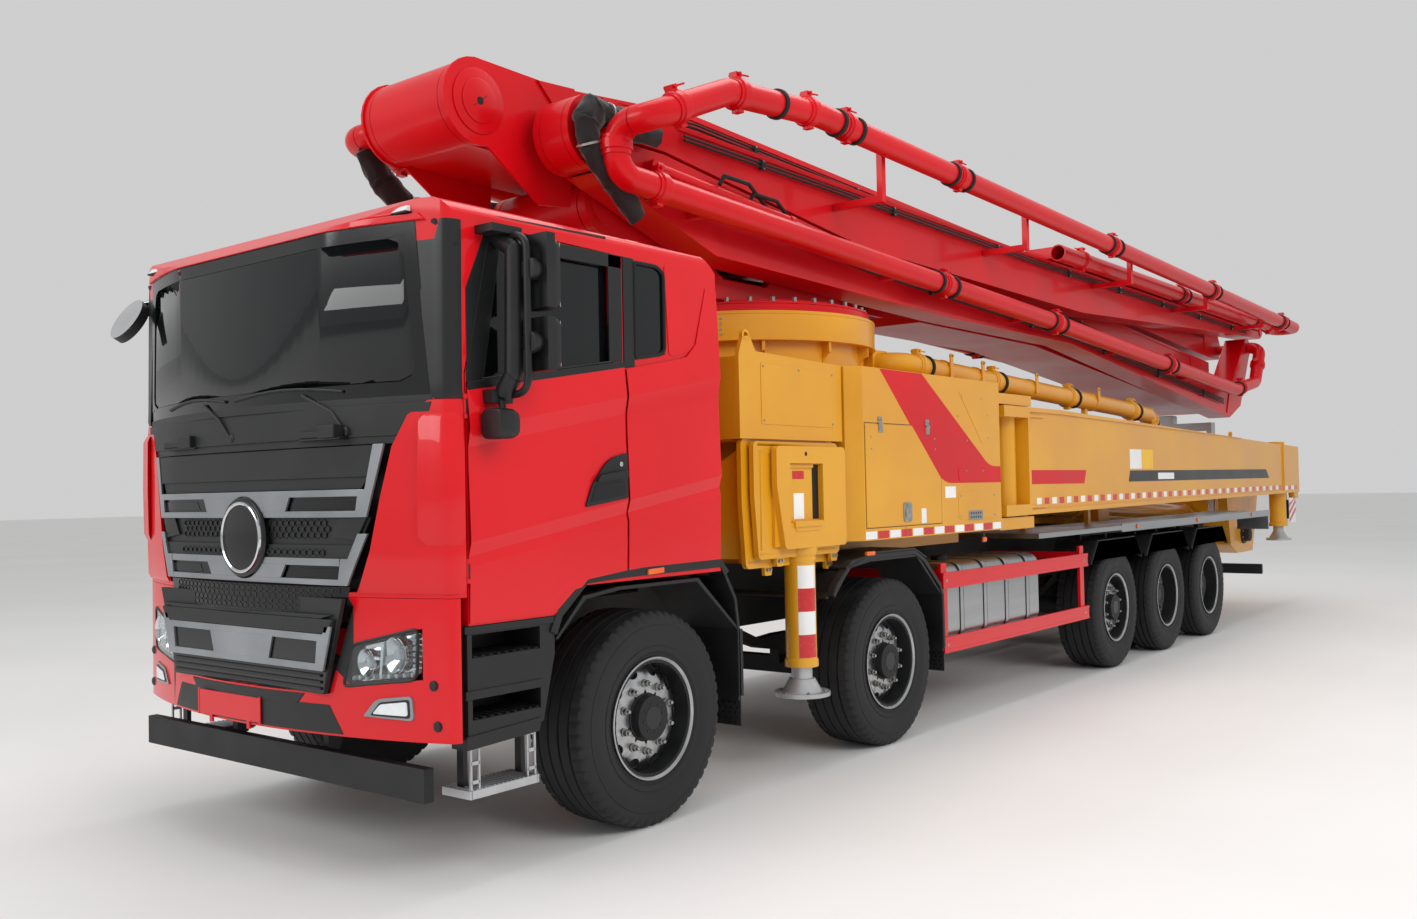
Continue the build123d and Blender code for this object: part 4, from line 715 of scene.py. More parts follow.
# %% Head lamps
def lamp_pod(side, sign):
    """Head lamp: bowl, reflectors, lamp chain and the clear lens."""
    outline = [(700, 836), (752, 1016), (1086, 1094), (1078, 880)]
    soft = rounded(outline, (30, 34, 30, 40))
    pod = Bench()
    pod.use(black_plastic)
    pod.bowed(soft, 55, 60, nose, STRIPS)
    pod.use(chrome)
    inner = rounded([(716, 850), (762, 1004), (1070, 1076), (1062, 892)], 26)
    pod.bowed(inner, 40, 56, nose, STRIPS)
    for x, z, radius in ((968, 978, 74), (822, 942, 56)):
        y = nose(x)
        bowl = [(y + 44, radius), (y + 2, radius + 4), (y + 6, radius - 6), (y + 34, radius * 0.4),
                (y + 40, 12)]
        pod.use(chrome).turned(bowl, (x, 0, z), "Y", 32)
        pod.use(lamp_white).turned(
            [(y + 40, 24), (y + 16, 23), (y + 8, 16), (y + 5, 6)], (x, 0, z), "Y", 24)
    for i in range(9):
        t = i / 8
        x, z = 738 + t * 304, 872 + t * 26
        pod.use(lamp_white).turned([(nose(x) + 34, 12), (nose(x) + 12, 11), (nose(x) + 8, 5)],
                                   (x, 0, z), "Y", 12)
    for i in range(7):
        x, z = 1056, 912 + i * 24
        pod.use(lamp_white).turned([(nose(x) + 34, 10), (nose(x) + 10, 9), (nose(x) + 6, 4)], (x, 0, z),
                                   "Y", 12)
    pod.use(chrome).bowed([(884, 880), (896, 890), (912, 1034), (896, 1030)], 8, 40, nose, STRIPS)
    pod.object(f"head_lamp_{side}", "chassis", bevel=1.5, sign=sign)
    glass = Bench()
    glass.bowed(soft, -3, 1, nose, STRIPS)
    glass.object(f"head_lamp_lens_{side}", "chassis", lens, bevel=1, sign=sign)
    rim = Bench()
    for a, b in zip(soft, soft[1:] + soft[:1]):
        rim.rod((a[0], nose(a[0]) - 1, a[1]), (b[0], nose(b[0]) - 1, b[1]), 7, sides=8)
    rim.object(f"head_lamp_rim_{side}", "chassis", black_plastic, bevel=0, sign=sign)
    fog = Bench()
    shape = rounded([(812, 716), (880, 792), (1058, 812), (1064, 708)], (12, 30, 22, 22))
    fog.use(silver_trim).bowed(shape, -8, 14, nose, STRIPS)
    shape = rounded([(850, 722), (900, 780), (1046, 798), (1050, 718)], 14)
    fog.use(black_plastic).bowed(shape, -10, 2, nose, STRIPS)
    shape = rounded([(866, 730), (906, 772), (1036, 788), (1040, 728)], 12)
    fog.use(lamp_white).bowed(shape, -14, 2, nose, STRIPS)
    fog.object(f"fog_lamp_{side}", "chassis", bevel=3, sign=sign)
    caps = Bench()
    for x, z in ((1152, 858), (1168, 690)):
        caps.turned([(nose(x) + 8, 22), (nose(x) - 5, 22), (nose(x) - 8, 16)], (x, 0, z), "Y", 24)
    caps.object(f"bumper_caps_{side}", "chassis", black_plastic, bevel=2, sign=sign)


for side, sign in TWO_SIDES:
    lamp_pod(side, sign)
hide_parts("headlamps")
print("head lamps, fog lamps and caps")

# %% [markdown]
# ## Windscreen, pillars and roof
# A bonded windscreen has a black ceramic band printed round its edge, which hides the
# glue. Dark covers run up the pillars beside it, so screen and side windows read as one
# band of glass. The red roof closes it off with a lip, two marker lamps and a rail.

# %% Windscreen band and pillar covers
band = Bench()
nose_plate(band, [(-1172, 2066), (1172, 2066), (1166, 2132), (-1166, 2132)], 1.5, 4)
nose_plate(band, [(-1104, 2742), (1104, 2742), (1098, 2808), (-1098, 2808)], 3, 6)
both_ways(band, [(1096, 2120), (1168, 2120), (1100, 2760), (1034, 2760)], 3, 6)
for x0, z0, dx, dz in ((1100, 2128, -1, 1), (1042, 2748, -1, -1)):
    corner = [(x0, z0), (x0, z0 + dz * 90), (x0 + dx * 26, z0 + dz * 26), (x0 + dx * 90, z0)]
    both_ways(band, corner, 3, 6)
band.object("windscreen_band", "chassis", gloss_black, bevel=0)


def corner_path(start_x, proud):
    """Plan of the cab's front corner, from x on the nose round to the door."""
    path = []
    for k in range(5):
        x = start_x + (1185 - start_x) * k / 4
        path.append((x, nose(x) - proud))
    centre = (HALF - 62, nose(1190) + 58)
    for k in range(1, 8):
        angle = math.radians(-72 + 72 * k / 7)
        path.append((centre[0] + (60 + proud) * math.cos(angle), centre[1] + (60 + proud) * math.sin(angle)))
    path.append((HALF - 2 + proud, -1204))
    return path


def corner_skin(bench, levels, thick=10):
    """Upright skin round the corner; levels are (z, start x, how proud)."""
    rings = []
    for z, start_x, proud in levels:
        out, back = corner_path(start_x, proud), corner_path(start_x, proud - thick)
        lean = nose(0, z) - nose(0, 0)
        rings.append([(x, max(y, y + lean * 0.15), z) for x, y in out + back[::-1]])
    return bench.skin(rings)


for side, sign in TWO_SIDES:
    cover = Bench()
    corner_skin(cover, [(2052, 1178, 6), (2075, 1166, 10), (2120, 1160, 8), (2400, 1128, 7), (2700, 1104, 7),
                        (2722, 1050, 7), (2806, 1040, 5)])
    cover.turned([(HALF + 2, 9), (HALF + 8, 9), (HALF + 9, 5)], (0, -1226, 2700), "X", 16)
    cover.object(f"pillar_cover_{side}", "chassis", stripe_black, bevel=4, sign=sign)
print("windscreen band and pillar covers")

# %% Red corner panels with their air channel
for side, sign in TWO_SIDES:
    panel = Bench()
    corner_skin(panel, [(1238, 800, 3), (1262, 806, 14), (1420, 868, 17), (1640, 922, 17), (1860, 984, 16),
                        (1990, 1060, 13), (2048, 1150, 7)], 16)
    rows = []
    for z, start, proud in ((1440, 1150, 18), (1475, 1120, 34), (1700, 1120, 38), (1960, 1128, 34),
                            (1992, 1140, 18)):
        out, back = corner_path(start, proud), corner_path(start + 22, 12)
        rows.append([(x, y, z) for x, y in out[:-1] + back[:-1][::-1]])
    panel.skin(rows)
    panel.object(f"corner_panel_{side}", "chassis", cab_red, bevel=5, sign=sign)
print("corner panels")

# %% Roof lip, marker lamps and rails
roof = Bench()
nose_plate(roof, [(-1150, 2806), (1150, 2806), (1120, 2836), (-1120, 2836)], 16, 30)
nose_plate(roof, [(-1080, 2838), (1080, 2838), (1040, 2850), (-1040, 2850)], 8, 20)
roof.object("roof_lip", "chassis", cab_red, bevel=6)
lamps = Bench()
for x in (1000, -1000):
    y = nose(x, 2848)
    lamps.use(black_plastic).block((x - 84, y - 12, 2838), (x + 84, y + 60, 2848))
    lamps.use(lamp_white).plate(
        [(y - 8, 2846), (y + 52, 2846), (y + 44, 2876), (y + 8, 2872)], x - 76, x + 76)
lamps.object("roof_marker_lamps", "chassis", bevel=5)
for side, sign in TWO_SIDES:
    rail = Bench()
    rail.pipe(bend([(1186, nose(1186) - 4, 2790), (1196, nose(1190) + 20, 2860), (1182, -1130, 2886),
                    (1176, -1020, 2884)], 50), 15, 10)
    rail.object(f"roof_corner_cap_{side}", "chassis", black_plastic, bevel=0, sign=sign)
    gutter = Bench()
    gutter.pipe([(1222, -1180, 2846), (1234, -1000, 2852), (1236, -300, 2862)], 7, 8)
    gutter.object(f"roof_rail_{side}", "chassis", black_plastic, bevel=0, sign=sign)
    light = Bench()
    light.use(black_plastic).block((1180, -130, 2862), (1214, -20, 2872))
    light.use(amber_lens).block((1184, -122, 2870), (1210, -28, 2886))
    light.object(f"roof_side_lamp_{side}", "chassis", bevel=4, sign=sign)
print("roof lip, lamps and rails")

# %% [markdown]
# ## Wipers
# Two wipers park along the lower edge of the screen. An arm has a hinge cap, a sheet
# metal part that tapers, and a blade of rubber held by a slim frame.

# %% Wipers
wipers = Bench()
for px, tip_x in ((745, 130), (-70, -600)):
    y = nose(px) + sink(px, 26) - 4
    wipers.use(black_plastic).turned([(y + 10, 24), (y - 16, 22), (y - 22, 14)], (px, 0, 1932), "Y", 20)
    mid = (px - (px - tip_x) * 0.42, nose(px - 250) - 12, 2100)
    wipers.pipe(bend([(px, y - 16, 1932), (px - 60, nose(px) - 10, 2056), mid], 40), 7, 8)
    blade = []
    for k in range(9):
        x = px - 20 + (tip_x - 120 - px) * k / 8
        blade.append((x, nose(x, 2100) - 7, 2106 + 26 * math.sin(math.pi * k / 8)))
    wipers.pipe(blade, 6, 8)
    wipers.use(rubber).pipe([(x, y0 + 4, z - 6) for x, y0, z in blade], 4, 6)
wipers.object("wipers", "chassis", bevel=0)
print("two wipers")

# %% [markdown]
# ## Doors and cab sides
# A pressed steel side is never flat. Two lines run along this cab and rise to the rear:
# a soft one under the windows and a sharp one low down with a step under it. A thin
# skin is laid over the flat solid and cut along those lines, and each strip leans a
# little in or out. The light then breaks along them as it does on a real pressing.

# %% Lines of the cab side
RISE, LOW_RISE = 0.184, 0.16


def belt_line(y):
    return 2143 + y * RISE


def low_line(y):
    return 1638 + y * LOW_RISE


def side_bulge(y, z):
    """How far the side stands out at a point, in millimetres."""
    high, low = belt_line(y), low_line(y)
    if z >= high:
        return max(3.0, 26 - (z - high) * 0.11)
    if z >= low:
        across = (high - z) / (high - low)
        return 26 - 17 * min(1, across * 6) + 17 * max(0, across - 0.3)
    if z >= low - 60:
        return 21 - 18 * (low - z) / 60
    if z >= low - 104:
        return 3 + 9 * (low - 60 - z) / 44
    return max(3.0, 12 - (low - 104 - z) * 0.03)


SIDE_CUTS = [((0, belt_line(0)), (1, RISE))]
SIDE_CUTS += [((0, low_line(0) - drop), (1, LOW_RISE)) for drop in (0, 60, 104)]
SIDE_CUTS += [((0, low_line(0) + 506 * k / 6), (1, LOW_RISE + 0.004 * k)) for k in range(1, 6)]


def side_sheet(name, body, outline, sign):
    """Pressed sheet over the cab side, with its inner face on the solid."""
    sheet = Bench()
    sheet.bowed(outline, HALF - 1, HALF + 1, side_bulge, SIDE_CUTS, across="X")
    return sheet.object(name, body, cab_red, bevel=1.5, sign=sign, smooth=12)


print("side lines rise", RISE, "mm for each millimetre")

# %% Door and side sheets
DOOR_SHEET = [(-1181, 1108), (-642, 1108), (-474, 1246), (-204, 1270), (-204, 2250), (-1181, 2098)]
SIDE_SHEET = [(-190, 1252), (526, 1252), (530, 2700), (440, 2700), (350, 2400), (270, 2330),
              (130, 2300), (-190, 2240)]
for side, sign in TWO_SIDES:
    side_sheet(f"door_sheet_{side}", f"door_{side}", DOOR_SHEET, sign)
    side_sheet(f"cab_side_sheet_{side}", "chassis", SIDE_SHEET, sign)
print("door and cab side sheets")

# %% Window frames and pillars
for side, sign in TWO_SIDES:
    trim = Bench()
    trim.plate([(-1180, 2088), (-204, 2244), (-204, 2276), (-1180, 2124)], HALF - 4, HALF + 12)
    trim.plate([(-300, 2262), (-206, 2278), (-206, 2784), (-300, 2784)], HALF - 4, HALF + 4)
    trim.plate([(-1180, 2098), (-1090, 2108), (-978, 2740), (-992, 2788), (-1038, 2788), (-1180, 2180)],
               HALF - 4, HALF + 4)
    trim.plate([(-1176, 2150), (-1092, 2150), (-1038, 2788), (-1060, 2788), (-1176, 2520)], HALF - 4,
               HALF + 3)
    trim.plate([(-1040, 2722), (-206, 2722), (-206, 2786), (-1026, 2790)], HALF - 4, HALF + 4)
    trim.pipe([(HALF + 5, -1092, 2140), (HALF + 5, -300, 2266)], 7, 8)
    trim.object(f"door_window_frame_{side}", f"door_{side}", stripe_black, bevel=3, sign=sign)
    quarter = Bench()
    hole = rounded([(-112, 2300), (106, 2336), (106, 2738), (58, 2768), (-112, 2768)], (10, 40, 40, 40, 10))
    quarter.plate([(-196, 2244), (-118, 2256), (-118, 2786), (-196, 2786)], HALF - 4, HALF + 4)
    quarter.object(f"pillar_trim_{side}", "chassis", stripe_black, bevel=3, sign=sign)
    seal = Bench()
    seal.pipe([(HALF + 2, y, z) for y, z in hole + hole[:1]], 10, 8)
    seal.object(f"quarter_window_seal_{side}", "chassis", rubber, bevel=0, sign=sign)
    pane = Bench()
    pane.plate(hole, HALF - 10, HALF - 5)
    pane.object(f"quarter_pane_{side}", "chassis", side_glass, bevel=0.5, sign=sign)
    dish = Bench()
    rim = rounded([(140, 2320), (330, 2372), (372, 2640), (240, 2800), (112, 2782), (128, 2500)],
                  (40, 110, 150, 120, 20, 10))
    dish.bowed(rim, HALF - 1, HALF + 1, lambda y, z: 3, [], across="X")
    dish.object(f"quarter_surround_{side}", "chassis", cab_red, bevel=2, sign=sign)
print("window frames and pillars")

# %% Door handles
for side, sign in TWO_SIDES:
    handle = Bench()
    dish = [(-505, 1580), (-212, 1618), (-212, 1834), (-340, 1806), (-452, 1690)]
    x = HALF + 29
    handle.use(black_plastic).plate(rounded(dish, (16, 10, 14, 60, 30)), HALF - 2, x)
    cup = rounded([(-470, 1602), (-230, 1634), (-230, 1700), (-440, 1680)], 14)
    handle.use(gloss_black).plate(cup, x - 3, x + 2)
    grip = rounded([(-440, 1696), (-226, 1716), (-226, 1752), (-412, 1728)], 12)
    handle.use(black_plastic).plate(grip, x, x + 18)
    handle.use(chrome).turned([(x, 12), (x + 5, 12), (x + 6, 8)], (0, -262, 1780), "X", 20)
    handle.object(f"door_handle_{side}", f"door_{side}", bevel=3, sign=sign)
print("door handles")

# %% [markdown]
# ## Mirrors
# Each door carries a thick upright bar from a bracket at the roof to an arm at the belt.
# Two housings sit behind it on ball joints, a tall flat one and a wide angle one below
# it, and a kerb mirror box hangs under the bar.

# %% Mirrors
def softened_box(bench, low, high, draft=0.9):
    """Moulded housing: a block whose rear is a little smaller than its front."""
    (x0, y0, z0), (x1, y1, z1) = low, high
    rings = []
    for t, size in ((0, 0.94), (0.12, 1.0), (0.7, 0.98), (1.0, draft)):
        cx, cz, hx, hz = (x0 + x1) / 2, (z0 + z1) / 2, (x1 - x0) / 2 * size, (z1 - z0) / 2 * size
        outline = rounded(box_outline(cx - hx, cx + hx, cz - hz, cz + hz), 34, 4)
        rings.append([(u, y0 + (y1 - y0) * t, v) for u, v in outline])
    return bench.skin(rings)


BAR_X = HALF + 190
for side, sign in TWO_SIDES:
    door = f"door_{side}"
    bar = Bench()
    loop = bend([(HALF - 4, -1004, 2768), (BAR_X, -1004, 2764), (BAR_X, -1000, 2096),
                 (HALF + 60, -1030, 2070)], 74, 8)
    bar.pipe(loop, 40, 14)
    bar.block((HALF - 2, -1120, 2758), (HALF + 110, -950, 2792))
    bar.block((HALF - 2, -1100, 2036), (HALF + 70, -980, 2092))
    bar.object(f"mirror_bar_{side}", door, black_plastic, bevel=8, sign=sign)
    houses = Bench()
    softened_box(houses, (BAR_X - 92, -925, 2432), (BAR_X + 58, -850, 2742))
    softened_box(houses, (BAR_X - 92, -925, 2176), (BAR_X + 56, -850, 2404))
    for z in (2600, 2290):
        houses.turned([(-1000, 46), (-975, 50), (-950, 40), (-920, 34)], (BAR_X, 0, z), "Y", 24)
    houses.object(f"mirror_housings_{side}", door, black_plastic, bevel=4, sign=sign)
    glass = Bench()
    glass.block((BAR_X - 78, -850, 2448), (BAR_X + 44, -846, 2726))
    glass.block((BAR_X - 78, -850, 2192), (BAR_X + 42, -846, 2388))
    glass.object(f"mirror_glass_{side}", door, chrome, bevel=1, sign=sign)
    kerb = Bench()
    kerb.rod((HALF + 60, -1040, 2060), (HALF + 96, -1060, 2004), 15)
    softened_box(kerb, (HALF + 30, -1130, 1880), (HALF + 160, -1010, 2010), 0.8)
    kerb.object(f"kerb_mirror_{side}", door, black_plastic, bevel=5, sign=sign)
print("mirrors on both doors")

# %% [markdown]
# ## Wheels
# Five axles carry ten wheel bodies, and the last two axles have twins. A tyre is one
# profile turned round its axle, with four grooves round the tread. The shoulders also
# have cross grooves, made by drawing some of the turned rings a little closer to the
# axle. The plain CAD tyre stays in place for contact, and this one is shown for it.

# %% Tyres
AXLE_YS = {"1": 0, "2": 2300, "3": 6250, "4": 7620, "5": 8960}
HUB_Z = 530
TYRE_OUT = 1245
SINGLE, TWIN, BETWEEN = 370, 282, 52


def tyre(bench, y, outside, width):
    """Tyre with its sidewall rings, tread grooves and shoulder blocks."""
    half, middle = width / 2, outside - width / 2
    side = [(-half + 34, 292), (-half + 22, 300), (-half + 20, 316), (-half + 10, 330),
            (-half + 8, 352), (-half + 11, 354),
            (-half + 4, 380), (-half, 420), (-half + 3, 456), (-half + 6, 458), (-half + 4, 470),
            (-half + 10, 500), (-half + 20, 517)]
    tread = [(-half + 30, 525)]
    for k in range(4):
        groove = (-0.54 + 0.36 * k) * half
        tread += [(groove - 7, 529.5), (groove - 4, 516), (groove + 4, 516), (groove + 7, 529.5)]
    profile = side + tread
    profile += [(-x, r) for x, r in (side + [(-half + 30, 525)])[::-1]]
    blocks = 54
    count = blocks * 4
    rings = []
    for i in range(count):
        angle = 2 * math.pi * i / count
        ring = []
        for x, r in profile:
            notch = 11 if i % 4 == 0 and abs(x) > half * 0.72 and r > 495 else 0
            ring.append((middle + x, y + (r - notch) * math.cos(angle),
                         HUB_Z + (r - notch) * math.sin(angle)))
        rings.append(ring)
    made = [[bench.mesh.verts.new(p) for p in ring] for ring in rings]
    for i in range(count):
        a, b = made[i], made[(i + 1) % count]
        for k in range(len(profile) - 1):
            bench.mesh.faces.new((a[k], a[k + 1], b[k + 1], b[k])).material_index = bench.slot
    return bench


for name, y in AXLE_YS.items():
    twin = name in "45"
    for side, sign in TWO_SIDES:
        rubber_ring = Bench()
        tyre(rubber_ring, y, TYRE_OUT, TWIN if twin else SINGLE)
        if twin:
            tyre(rubber_ring, y, TYRE_OUT - TWIN - BETWEEN, TWIN)
        shown = rubber_ring.object(f"tread_tyre_{name}_{side}", f"wheel_{name}_{side}", tyre_rubber,
                                   bevel=0, sign=sign, smooth=28)
        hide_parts(f"tyre_{name}_{side}")
print("tyres with grooves on", len(AXLE_YS), "axles")

# %% [markdown]
# A forged wheel disc has ten oval hand holes. Each tenth of the disc is a ring of points
# on its own border joined to a ring of points round its hole. Front and back are the
# same rings at two depths, and the hole gets a wall between them.

# %% Discs, nuts and hubs
def disc_depth(r, dish):
    """How far the disc lies inside the wheel's outer face at radius r."""
    if dish:
        return 178 - 40 * max(0, (r - 190) / 85)
    return 72 + 48 * max(0, (r - 190) / 85) ** 1.3


def disc_sector(bench, y, outside, dish, first):
    """One tenth of a wheel disc, with its hand hole."""
    low, high, middle, half = 120, 276, 229, math.radians(18)
    border, hole = [], []
    for k in range(20):
        angle = 2 * math.pi * k / 20
        u, v = math.cos(angle), math.sin(angle)
        grow = 1 / max(abs(u), abs(v))
        bu, bv = u * grow, v * grow
        border.append((first + half * bu, (low + high) / 2 + (high - low) / 2 * bv))
        hole.append((first + math.radians(8.0) * u, middle + 23 * v))
    levels = []
    for points, back in ((border, 0), (hole, 0), (hole, 22), (border, 22)):
        ring = []
        for angle, r in points:
            x = outside - disc_depth(r, dish) - back
            ring.append(bench.mesh.verts.new((x, y + r * math.cos(angle), HUB_Z + r * math.sin(angle))))
        levels.append(ring)
    for a, b in zip(levels, levels[1:]):
        for k in range(20):
            j = (k + 1) % 20
            bench.mesh.faces.new((a[k], a[j], b[j], b[k])).material_index = bench.slot


for name, y in AXLE_YS.items():
    dish = name in "45"
    for side, sign in TWO_SIDES:
        wheel = Bench()
        wheel.use(forged_rim)
        for k in range(10):
            disc_sector(wheel, y, TYRE_OUT, dish, math.radians(36 * k))
        x = TYRE_OUT
        wheel.turned([(x - 16, 301), (x - 9, 300), (x - 8, 292), (x - 16, 284), (x - 40, 280),
                      (x - 120, 276), (x - 260, 274),
                      (x - 260, 286), (x - 60, 292), (x - 24, 297)], (0, y, HUB_Z), "X", 72, closed=True)
        face = x - disc_depth(120, dish)
        for k in range(10):
            angle = math.radians(36 * k + 18)
            cy, cz = y + 167 * math.cos(angle), HUB_Z + 167 * math.sin(angle)
            wheel.use(zinc_bolt).turned([(face - 2, 21), (face + 5, 21), (face + 6, 18)], (0, cy, cz),
                                        "X", 12)
            wheel.turned([(face + 5, 17), (face + 24, 16), (face + 27, 13)], (0, cy, cz), "X", 6)
            wheel.turned([(face + 26, 10), (face + 40, 10), (face + 42, 8)], (0, cy, cz), "X", 10)
        reach = face + (92 if dish else 52)
        wheel.use(stripe_black).turned([(face - 30, 118), (face + 3, 118), (face + 6, 112),
                                        (face + 10, 98), (reach - 12, 90), (reach - 2, 84), (reach, 76),
                                        (reach - 4, 60), (reach + 2, 56), (reach + 2, 8)],
                                        (0, y, HUB_Z), "X", 40)
        for k in range(8):
            angle = math.radians(45 * k + 10)
            wheel.turned([(reach - 6, 7), (reach + 3, 7)],
                         (0, y + 70 * math.cos(angle), HUB_Z + 70 * math.sin(angle)), "X", 6)
        wheel.object(f"wheel_disc_{name}_{side}", f"wheel_{name}_{side}", bevel=1.2, sign=sign)
        # The plain CAD rim behind the new disc is painted black: painted shade seen through the hand holes.
        dress(f"rim_{name}_{side}", frame_black, 0)
print("wheel discs with hand holes and nuts")

# %% [markdown]
# ## Steps, arches and mudguards
# Below the door are two moulded steps with gripping bars and a hanging aluminium one.
# A dark moulding follows the arch over the first wheel and carries an amber marker.

# %% Steps
for side, sign in TWO_SIDES:
    steps = Bench()
    for z in (962, 702):
        steps.use(black_plastic).block((1010, -1166, z - 14), (1244, -776, z + 2))
        for k in range(9):
            y = -1150 + k * 44
            steps.use(rubber).block((1020, y, z + 1), (1240, y + 20, z + 9))
    steps.use(black_plastic).plate(box_outline(-1206, -688, 1098, 1066), 1180, 1252)
    steps.plate([(-1204, 828), (-764, 828), (-772, 790), (-1204, 790)], 1180, 1252)
    steps.plate([(-1204, 640), (-772, 660), (-790, 600), (-1204, 582)], 1150, 1252)
    steps.object(f"cab_steps_{side}", "chassis", bevel=4, sign=sign)
    hanging = Bench()
    for y in (-1140, -820):
        for dy in (-22, 22):
            hanging.block((1216, y + dy - 5, 396), (1228, y + dy + 5, 610))
        for z in (600, 520, 440):
            hanging.block((1216, y - 24, z - 8), (1228, y + 24, z + 8))
        hanging.turned([(1226, 12), (1234, 12)], (0, y, 598), "X", 6)
    hanging.block((1050, -1176, 372), (1236, -1164, 408))
    hanging.block((1050, -796, 372), (1236, -784, 408))
    hanging.block((1224, -1170, 372), (1236, -790, 408))
    hanging.block((1050, -1170, 372), (1062, -790, 408))
    for k in range(16):
        y = -1160 + k * 24
        hanging.block((1056, y, 396), (1232, y + 6, 412))
    hanging.object(f"hanging_step_{side}", "chassis", silver_paint, bevel=1.5, sign=sign)
print("steps below the doors")

# %% Arches and mudguards
def guard_band(bench, path, thick, x0, x1):
    """Band of sheet that follows a path in the side view."""
    back = []
    for i, (y, z) in enumerate(path):
        a, b = Vector(path[max(0, i - 1)]), Vector(path[min(len(path) - 1, i + 1)])
        across = Vector((-(b - a).y, (b - a).x)).normalized() * thick
        back.append((y + across.x, z + across.y))
    return bench.plate(path + back[::-1], x0, x1)


for side, sign in TWO_SIDES:
    arches = Bench()
    arches.use(black_plastic)
    guard_band(arches, [(-676, 1010), (-640, 1090), (-472, 1226), (-200, 1236), (526, 1240),
                        (560, 1190)], 46, 1150, 1256)
    guard_band(arches, [(560, 1190), (640, 1060), (664, 900), (668, 540)], 22, 1000, 1254)
    guard_band(arches, [(668, 900), (668, 540)], 40, 1235, 1254)
    guard_band(arches, [(1630, 990), (1660, 1040), (1830, 1170), (2060, 1196), (2600, 1196),
                        (2720, 1140), (2930, 960), (2962, 900), (2966, 540)], 30, 1200, 1256)
    guard_band(arches, [(1760, 1150), (2060, 1226), (2600, 1226), (2760, 1160)], 14, 900, 1256)
    for y0 in [AXLE_YS[n] for n in "345"]:
        guard_band(arches, [(y0 - 610, 940), (y0 - 590, 968), (y0 - 440, 1132), (y0 + 440, 1132),
                            (y0 + 590, 968), (y0 + 610, 940)], 12, 1226, 1258)
    arches.use(amber_lens).plate(rounded([(-60, 1238), (60, 1242), (60, 1270), (-60, 1266)], 8), 1250, 1266)
    arches.plate(box_outline(1990, 2090, 1218, 1244, 8), 1240, 1262)
    arches.object(f"arch_mouldings_{side}", "chassis", bevel=5, sign=sign)
    flaps = Bench()
    for y, x0 in ((690, 900), (2990, 900)):
        flaps.use(rubber).block((x0, y, 380), (1240, y + 8, 800))
        for row in range(9):
            for k in range(8):
                px, pz = x0 + 26 + k * 40 + (row % 2) * 12, 396 + row * 26
                flaps.use(gloss_black).turned([(y - 2, 7), (y + 10, 7)], (px, 0, pz), "Y", 6)
    flaps.object(f"mud_flaps_{side}", "chassis", bevel=1, sign=sign)
print("arches, mudguards and flaps")

# %% [markdown]
# ## Films and tapes
# Stripes, reflective tape and signs are films about a millimetre thick. A film that only
# coloured the paint below would have soft edges, and film has crisp ones, so each is a
# thin plate on the panel. A film that crosses a hatch is cut at the hatch's edge, and
# the part on the hatch is a face of the hatch in the stripe's paint.

# %% Tools for films, tapes and small fittings
COVER_X, WEB_X = 1245, 1232


def film(bench, outline, face, thick=1.2):
    """A film, sign or thin panel that stands on a side face."""
    bench.plate(outline, face - 0.5, face + thick)


def tape(bench, start, end, face, wide, blocks):
    """Two-colour reflective tape along a line on a side face, white block first."""
    (y0, z0), (y1, z1) = start, end
    for i in range(blocks):
        a, b = i / blocks, (i + 1) / blocks - 0.008
        ya, yb = y0 + (y1 - y0) * a, y0 + (y1 - y0) * b
        za, zb = z0 + (z1 - z0) * a, z0 + (z1 - z0) * b
        bench.use(plate_white if i % 2 == 0 else red_film)
        film(bench, [(ya, za), (yb, zb), (yb, zb + wide), (ya, za + wide)], face)


def gap_shade(bench, points, face, wide=4):
    """A dark strip along a run of points on a side face: painted shade for the gap of a joint."""
    for (ya, za), (yb, zb) in zip(points, points[1:]):
        run = Vector((yb - ya, zb - za)).normalized() * wide / 2
        side = Vector((-run.y, run.x))
        a, b = Vector((ya, za)) - run, Vector((yb, zb)) + run
        film(bench, [tuple(p) for p in (a + side, b + side, b - side, a - side)], face, 0.8)


def screws(bench, places, face, radius=7, high=4):
    """Round-headed screws on a side face."""
    for y, z in places:
        bench.turned([(-1, 0.1), (-1, radius), (high * 0.6, radius * 0.9), (high, radius * 0.5), (high, 0.1)],
                     (face, y, z), "X", 12)


def hex_bolt(bench, centre, axis, radius=14, high=16, sign=1):
    """A hexagon bolt head on its washer, along an axis."""
    washer = [(-1, 0.1), (-1, radius * 1.35), (3, radius * 1.35), (3, 0.1)]
    head = [(3, 0.1), (3, radius), (high, radius), (high + 2, radius * 0.8), (high + 2, 0.1)]
    bench.turned([(a * sign, r) for a, r in washer], centre, axis, 16)
    bench.turned([(a * sign, r) for a, r in head], centre, axis, 6)


def marker_lamp(bench, centre, size=(26, 42)):
    """An amber side marker with its black base, facing outward."""
    x, y, z = centre
    wide, high = size[1] / 2, size[0] / 2
    bench.use(black_plastic)
    bench.plate(rounded(box_outline(y - wide - 5, y + wide + 5, z - high - 5, z + high + 5), 12), x - 6,
                x + 4)
    bench.use(amber_lens)
    bench.plate(rounded(box_outline(y - wide, y + wide, z - high, z + high), 11), x + 3, x + 14)


red_film = finish("red_reflective_film", ("C40A16", "D0101C"), 40, (0.22, 0.3), 3, 0.06, Coat_Weight=0.4)
yellow_sign = finish("yellow_sign_enamel", ("F2B705", "F7C21C"), 120, (0.3, 0.4), 4, 0.03, IOR=1.5)
print("film tools ready")
